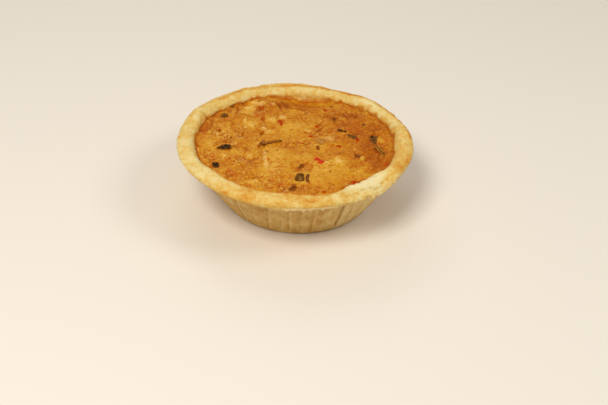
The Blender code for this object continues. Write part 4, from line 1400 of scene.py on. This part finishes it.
def shown(red, green, blue):
    """A colour as a screen shows it, from 0 to 255, as the linear colour that shaders use."""

    def linear(value):
        value /= 255.0
        return value / 12.92 if value <= 0.04045 else ((value + 0.055) / 1.055) ** 2.4

    return (linear(red), linear(green), linear(blue), 1.0)


# Light glances off buttery food in a warm tone.
WARM = shown(255, 222, 176)

print("golden as the shader sees it:", [round(value, 2) for value in shown(229, 190, 105)])

# %% [markdown]
# ## A material in the making
# A second class holds a material while it is made. Its one method `node` adds any node, from its
# type, its settings and its inputs, and the short ones after it only name the nodes that come
# back often. A value that doesn't change goes on the shader's own socket.

# %% Material maker


class Finish:
    """A material in the making: its tree, its shader and one way to add any node."""

    def __init__(self, name, roughness, specular=0.5, subsurface=0.0, radius=(1.0, 0.4, 0.2)):
        self.material = bpy.data.materials.new(name)
        self.material.use_nodes = True
        self.tree = self.material.node_tree
        self.shader = self.tree.nodes["Principled BSDF"]
        values = {"Roughness": roughness, "Specular IOR Level": specular, "Specular Tint": WARM}
        values |= {"Subsurface Weight": subsurface, "Subsurface Radius": radius}
        values["Subsurface Scale"] = 1.0 * MM
        for socket, value in values.items():
            self.shader.inputs[socket].default_value = value
        self.place = self.node("ShaderNodeTexCoord", output="Object")

    def node(self, kind, settings=None, inputs=None, output=0):
        made = self.tree.nodes.new(kind)
        for name, value in (settings or {}).items():
            if name == "stops":
                self.set_stops(made.color_ramp, value)
            else:
                setattr(made, name, value)
        for name, value in (inputs or {}).items():
            self.plug(made.inputs[name], value)
        return Wire(self, made.outputs[output])

    def plug(self, socket, value):
        if isinstance(value, Wire):
            self.tree.links.new(value.socket, socket)
        else:
            socket.default_value = value

    @staticmethod
    def set_stops(ramp, stops):
        while len(ramp.elements) < len(stops):
            ramp.elements.new(1.0)
        for element, (position, *colour) in zip(ramp.elements, stops):
            element.position = position
            element.color = shown(*colour)

    def grain(self, size, detail=2.0, roughness=0.5, stretch=None, swirl=0.0):
        """Noise from 0 to 1 in lumps of size metres. stretch scales it along x, y and z."""
        place = self.place
        if stretch:
            place = self.node("ShaderNodeMapping", None, {"Vector": place, "Scale": stretch})
        values = {"Vector": place, "Scale": 1.0 / size, "Detail": detail, "Roughness": roughness}
        values["Distortion"] = swirl
        return self.node("ShaderNodeTexNoise", None, values)

    def mark(self, name):
        """A value painted on the mesh."""
        return self.node("ShaderNodeAttribute", {"attribute_name": name}, output="Fac")

    def step(self, value, low, high):
        """0 below low, 1 above high, smooth between."""
        settings = {"interpolation_type": "SMOOTHSTEP"}
        values = {"Value": value, "From Min": low, "From Max": high}
        return self.node("ShaderNodeMapRange", settings, values)

    def ramp(self, value, stops):
        return self.node("ShaderNodeValToRGB", {"stops": stops}, {"Fac": value}, output="Color")

    def mix(self, share, first, second):
        settings = {"data_type": "RGBA", "clamp_factor": True}
        return self.node("ShaderNodeMix", settings, {0: share, 6: first, 7: second}, output=2)

    def laid_over(self, colour, share, *layer):
        """A colour with another laid over it, given as a screen shows it."""
        return self.mix(share, colour, shown(*layer))

    def bump(self, height, distance, strength):
        values = {"Height": height, "Distance": distance, "Strength": strength}
        return self.node("ShaderNodeBump", None, values)

    def wear(self, piece, colour, roughness=None, normal=None):
        """Joins the shader's sockets and puts the material on the piece."""
        self.plug(self.shader.inputs["Base Color"], colour)
        if roughness is not None:
            self.plug(self.shader.inputs["Roughness"], roughness)
        if normal is not None:
            self.plug(self.shader.inputs["Normal"], normal)
        piece.data.materials.clear()
        piece.data.materials.append(self.material)
        print(self.material.name, "on", piece.name, "with", len(self.tree.nodes), "nodes")


# %% [markdown]
# ## The filling's finish
# Baked custard is browned unevenly at every scale. One tone, from the painted patches and three
# sizes of noise, runs through a ramp from deep brown to pale gold; raised places are painted
# lighter and creases darker, partly as painted light and shade. Cream and red are laid over it
# where they are painted, and so are small painted glints and small dark dots of painted shade.
# It is a little moist, so it keeps a soft sheen, duller where dark.

# %% Filling's material
# Where each colour stands on the ramp, from 0 to 1, and the colour as a screen shows it.
CUSTARD_TONES = (
    (0.05, 140, 66, 2), (0.27, 172, 90, 6), (0.46, 192, 116, 16), (0.62, 206, 144, 32),
    (0.80, 221, 170, 64), (1.0, 238, 200, 118),
)


def browned_filling(piece):
    """Puts the browned, flecked custard on a piece."""
    finish = Finish("browned_filling", roughness=0.42, specular=0.1)
    blotch = finish.grain(11.0 * MM, detail=3.0)
    mottle = finish.grain(3.0 * MM, detail=4.0, roughness=0.65, swirl=1.2)
    speckle = finish.grain(1.3 * MM, detail=3.0, roughness=0.6, swirl=0.8)
    # Raised relief is painted lighter: partly the lumps' own gold, partly painted light on tops and
    # shade in hollows.
    tone = finish.mark("golden") * 0.55 + 0.56 + finish.mark("raised") * 0.14
    coarse = finish.mark("coarse")
    tone = tone + (blotch - 0.5) * 0.36
    tone = tone + (mottle - 0.5) * (coarse * 0.76 + 0.28) + (speckle - 0.5) * (coarse * 0.85 + 0.12)
    colour = finish.ramp(tone, CUSTARD_TONES)
    patchy = finish.grain(3.4 * MM, detail=4.0, roughness=0.6)
    reds = finish.step(patchy + finish.mark("red") * 0.3, 0.56, 0.74)
    colour = finish.laid_over(colour, reds * 0.6, 186, 78, 2)
    creamy = finish.step(finish.mark("cream") + (mottle - 0.5) * 1.4 + (speckle - 0.5) * 0.8, 0.2, 1.0)
    colour = finish.laid_over(colour, creamy * 0.75, 230, 186, 104)
    # Creases of the skin are painted darker: partly their browning, partly painted shade in them.
    sunk = finish.step(finish.mark("crease") + (mottle - 0.5) * 1.4 + (speckle - 0.5) * 0.8, 0.35, 1.0)
    colour = finish.laid_over(colour, sunk * 0.5, 156, 74, 4)
    fine = finish.grain(1.2 * MM, detail=3.0, roughness=0.65, swirl=1.0)
    # Painted glints: small pale dots on the coarse skin, standing in for light off its moist bumps.
    painted_glints = finish.step(finish.grain(0.9 * MM, detail=1.0), 0.58, 0.72)
    painted_glint_share = painted_glints * coarse * finish.step(finish.mark("golden"), -0.7, 0.15) * 0.55
    colour = finish.laid_over(colour, painted_glint_share, 234, 190, 118)
    # Painted shade: small dark dots for the shade in fine pits of the skin.
    painted_pit_shade = finish.step(1.0 - finish.grain(1.1 * MM, detail=1.0), 0.62, 0.74)
    colour = finish.laid_over(colour, painted_pit_shade * coarse * 0.55, 150, 72, 4)
    normal = finish.bump(fine, 0.4 * MM, 0.8)
    finish.wear(piece, colour, roughness=0.66 - 0.45 * mottle, normal=normal)


browned_filling(filling)

# %% [markdown]
# ## The pastry's finish
# Pastry runs from pale dough to gold to brown as it bakes. The tone comes from the painted baking
# marks and noise. The wall was in the mould, so it is tan and even, with upright streaks and
# darker folds; painted shade darkens the folds, the rim's cracks and the wall under the rim, and
# painted light brightens the wall at the front right. The cut lip is nearly raw in colour, and the
# filling's stain is brown.

# %% Pastry's material
PASTRY_TONES = (
    (0.05, 236, 222, 172), (0.30, 227, 204, 136), (0.50, 221, 183, 98), (0.68, 214, 158, 66),
    (0.85, 200, 124, 42), (1.0, 168, 86, 26),
)
WALL_TONES = ((0.15, 180, 131, 62), (0.5, 204, 163, 91), (0.85, 222, 194, 130))


def baked_pastry(piece):
    """Puts browned pastry on a piece: its wall, cut lip, stain, and painted light and shade."""
    finish = Finish(
        "baked_pastry", roughness=0.62, specular=0.15, subsurface=0.08, radius=(1.6, 0.9, 0.4)
    )
    blotch = finish.grain(8.0 * MM, detail=3.0)
    mottle = finish.grain(2.4 * MM, detail=4.0, roughness=0.65)
    speckle = finish.grain(0.8 * MM, detail=2.0)
    tone = finish.mark("baked") * 0.9 + 0.44 - finish.mark("relief") * 0.06
    tone = tone + (blotch - 0.5) * 0.55 + (mottle - 0.5) * 0.8 + (speckle - 0.5) * 0.4
    colour = finish.ramp(tone, PASTRY_TONES)
    streak = finish.grain(1.7 * MM, detail=3.0, stretch=(1.0, 1.0, 0.12))
    broad = finish.grain(7.0 * MM, detail=2.0, stretch=(1.0, 1.0, 0.4))
    wall_tone = (streak - 0.5) * 0.6 + (broad - 0.5) * 1.1 + (mottle - 0.5) * 0.35 + 0.5
    # The wall's painted light and shade: paler at the front right, darker under the rim, paler on the
    # folds' raised sides.
    wall_tone = wall_tone - finish.mark("baked") * 0.6
    colour = finish.mix(finish.mark("wall"), colour, finish.ramp(wall_tone, WALL_TONES))
    dough = finish.step(finish.mark("cut") + (mottle - 0.5) * 1.6, 0.2, 0.8)
    colour = finish.laid_over(colour, dough * 0.9, 236, 210, 156)
    # Painted shade in the folds, the cracks and under the rim.
    colour = finish.laid_over(colour, finish.mark("crease") * 0.4, 142, 86, 28)
    stained = finish.mark("stain") + (mottle - 0.5) * 0.5
    colour = finish.laid_over(colour, finish.step(stained, 0.02, 0.55) * 0.6, 216, 164, 66)
    colour = finish.laid_over(colour, finish.step(stained, 0.4, 1.0) * 0.8, 186, 104, 24)
    fine = finish.grain(0.9 * MM, detail=3.0, roughness=0.65)
    finish.wear(piece, colour, roughness=0.7 - 0.2 * blotch, normal=finish.bump(fine, 0.25 * MM, 0.6))


baked_pastry(shell)

# %% [markdown]
# ## The flecks' finishes
# Each kind has two colours that a noise moves between, a roughness and a fine bump: wet dark
# leaf, shiny pepper, dull browned scraps, soft meat. Crumbs are the lip's own cut dough.

# %% Flecks' materials
# What a fleck's edge is soaked in. Pepper, meat and the yellow bit have brighter edges.
SOAKED = (160, 88, 14)

# Piece, material, dark and light colour, grain size in mm, roughness, and for some also how
# strongly light glances off and what the edge is soaked in.
FLECK_LOOKS = (
    (leaves, "dark_leaf", (22, 15, 2), (74, 48, 12), 1.4, 0.5, 0.06),
    (browned_leaves, "browned_leaf", (60, 38, 8), (122, 78, 22), 1.2, 0.5),
    (large_pepper, "red_pepper", (184, 18, 2), (212, 66, 14), 2.0, 0.4, 0.1, (204, 90, 14)),
    (peppers, "dull_pepper", (156, 38, 0), (188, 70, 6), 1.4, 0.45, 0.06, (184, 88, 10)),
    (dark_scraps, "browned_scrap", (96, 44, 4), (144, 78, 18), 1.2, 0.5),
    (meat, "crawfish_meat", (146, 90, 30), (200, 144, 66), 2.4, 0.45, 0.1, (184, 116, 30)),
    (corn, "yellow_fleck", (196, 140, 34), (226, 182, 78), 1.2, 0.4, 0.1, (196, 128, 28)),
    (herb_scraps, "herb_scrap", (122, 78, 16), (168, 108, 28), 1.0, 0.5),
    (pepper_scraps, "pepper_scrap", (170, 50, 2), (192, 84, 10), 1.0, 0.4),
    (brown_scraps, "brown_scrap", (136, 62, 4), (172, 92, 14), 1.0, 0.5),
    (herb_specks, "herb_speck", (118, 72, 12), (156, 98, 22), 1.0, 0.5),
    (pepper_specks, "pepper_speck", (166, 56, 4), (190, 84, 10), 1.0, 0.4),
    (brown_stem, "brown_stem", (104, 54, 8), (182, 122, 52), 1.6, 0.5, 0.15),
    (green_stalks, "green_stalk", (116, 72, 8), (206, 156, 62), 1.4, 0.4, 0.15),
    (onion, "onion_green", (66, 36, 6), (128, 84, 28), 1.2, 0.5),
    (onion_side, "onion_strip", (90, 46, 6), (136, 80, 24), 1.2, 0.5),
    (onion_wall, "onion_wall", (84, 54, 12), (144, 104, 42), 0.9, 0.4),
    (crumbs, "cut_dough", (214, 176, 112), (234, 208, 150), 1.2, 0.8, 0.15),
)


def two_tone(piece, name, dark, light, size, roughness, specular=0.1, soaked=SOAKED):
    """Two colours that a noise moves between, and a third that creeps in from the edge."""
    finish = Finish(name, roughness=roughness, specular=specular)
    mottle = finish.grain(size * MM, detail=3.0, roughness=0.6)
    colour = finish.mix(finish.step(mottle, 0.3, 0.7), shown(*dark), shown(*light))
    rim = finish.step(finish.mark("edge") + (mottle - 0.5) * 0.7, 0.5, 0.95)
    colour = finish.laid_over(colour, rim * 0.8, *soaked)
    fine = finish.grain(0.5 * MM, detail=2.0)
    finish.wear(piece, colour, normal=finish.bump(fine, 0.12 * MM, 0.6))


for look in FLECK_LOOKS:
    two_tone(*look)

# %% [markdown]
# ## Floor and light
# A pale floor and soft light from above let the colours speak. The key light is a large panel
# above the left, a second one above the right fills the rim's far side, and the pale world
# lifts the shade under the rim.

# %% Floor and light
FLOOR_RADIUS = 3.0


def pale_floor():
    """A round floor under the pie, which is part of the stage and not of the model."""
    body = bmesh.new()
    bmesh.ops.create_circle(body, cap_ends=True, segments=96, radius=FLOOR_RADIUS)
    mesh = bpy.data.meshes.new("floor")
    body.to_mesh(mesh)
    body.free()
    floor = bpy.data.objects.new("floor", mesh)
    bpy.context.scene.collection.objects.link(floor)
    finish = Finish("pale_floor", roughness=0.7, specular=0.2)
    finish.wear(floor, shown(236, 231, 223))


def panel_light(name, place, size, watts, colour):
    """A square light panel at place, in metres, that faces the pie."""
    light = bpy.data.lights.new(name, "AREA")
    light.size = size
    light.energy = watts
    light.color = colour
    lamp = bpy.data.objects.new(name, light)
    lamp.location = place
    lamp.rotation_euler = Vector(place).to_track_quat("Z", "Y").to_euler()
    bpy.context.scene.collection.objects.link(lamp)


pale_floor()
panel_light("key", (-0.34, -0.55, 0.85), 0.4, 7.4, (1.0, 0.95, 0.86))
panel_light("side", (0.75, -0.1, 0.75), 0.4, 2.6, (1.0, 0.96, 0.9))
panel_light("back", (-0.2, 0.8, 0.7), 0.6, 2.0, (1.0, 0.96, 0.9))

world = bpy.data.worlds.new("soft_studio")
world.use_nodes = True
backdrop = world.node_tree.nodes["Background"]
backdrop.inputs["Color"].default_value = (1.0, 0.93, 0.83, 1.0)
backdrop.inputs["Strength"].default_value = 0.3
bpy.context.scene.world = world
bpy.context.scene.view_settings.view_transform = "Standard"

# %% [markdown]
# ## Camera
# The camera stands 34 degrees above the floor, a little over half a metre away. Its lens follows
# from how many pixels one unit of slope covers, and a small roll tips the picture.

# %% Camera
IMAGE_WIDTH = 608.0
FOCAL_PIXELS = 995.0
SENSOR_WIDTH = 36.0
CAMERA_PLACE = Vector((0.0, -455.97 * MM, 307.56 * MM))
CAMERA_AIM = Vector((5.92 * MM, -10.98 * MM, 0.0))
CAMERA_ROLL = 2.63

camera_data = bpy.data.cameras.new("camera")
camera_data.sensor_width = SENSOR_WIDTH
camera_data.lens = FOCAL_PIXELS / IMAGE_WIDTH * SENSOR_WIDTH
camera = bpy.data.objects.new("camera", camera_data)
camera.location = CAMERA_PLACE
aim = (CAMERA_AIM - CAMERA_PLACE).to_track_quat("-Z", "Y").to_matrix()
roll = Matrix.Rotation(math.radians(CAMERA_ROLL), 3, "Z")
camera.rotation_euler = (aim @ roll).to_euler()
bpy.context.scene.collection.objects.link(camera)
bpy.context.scene.camera = camera
print("lens, mm:", round(camera_data.lens, 1))
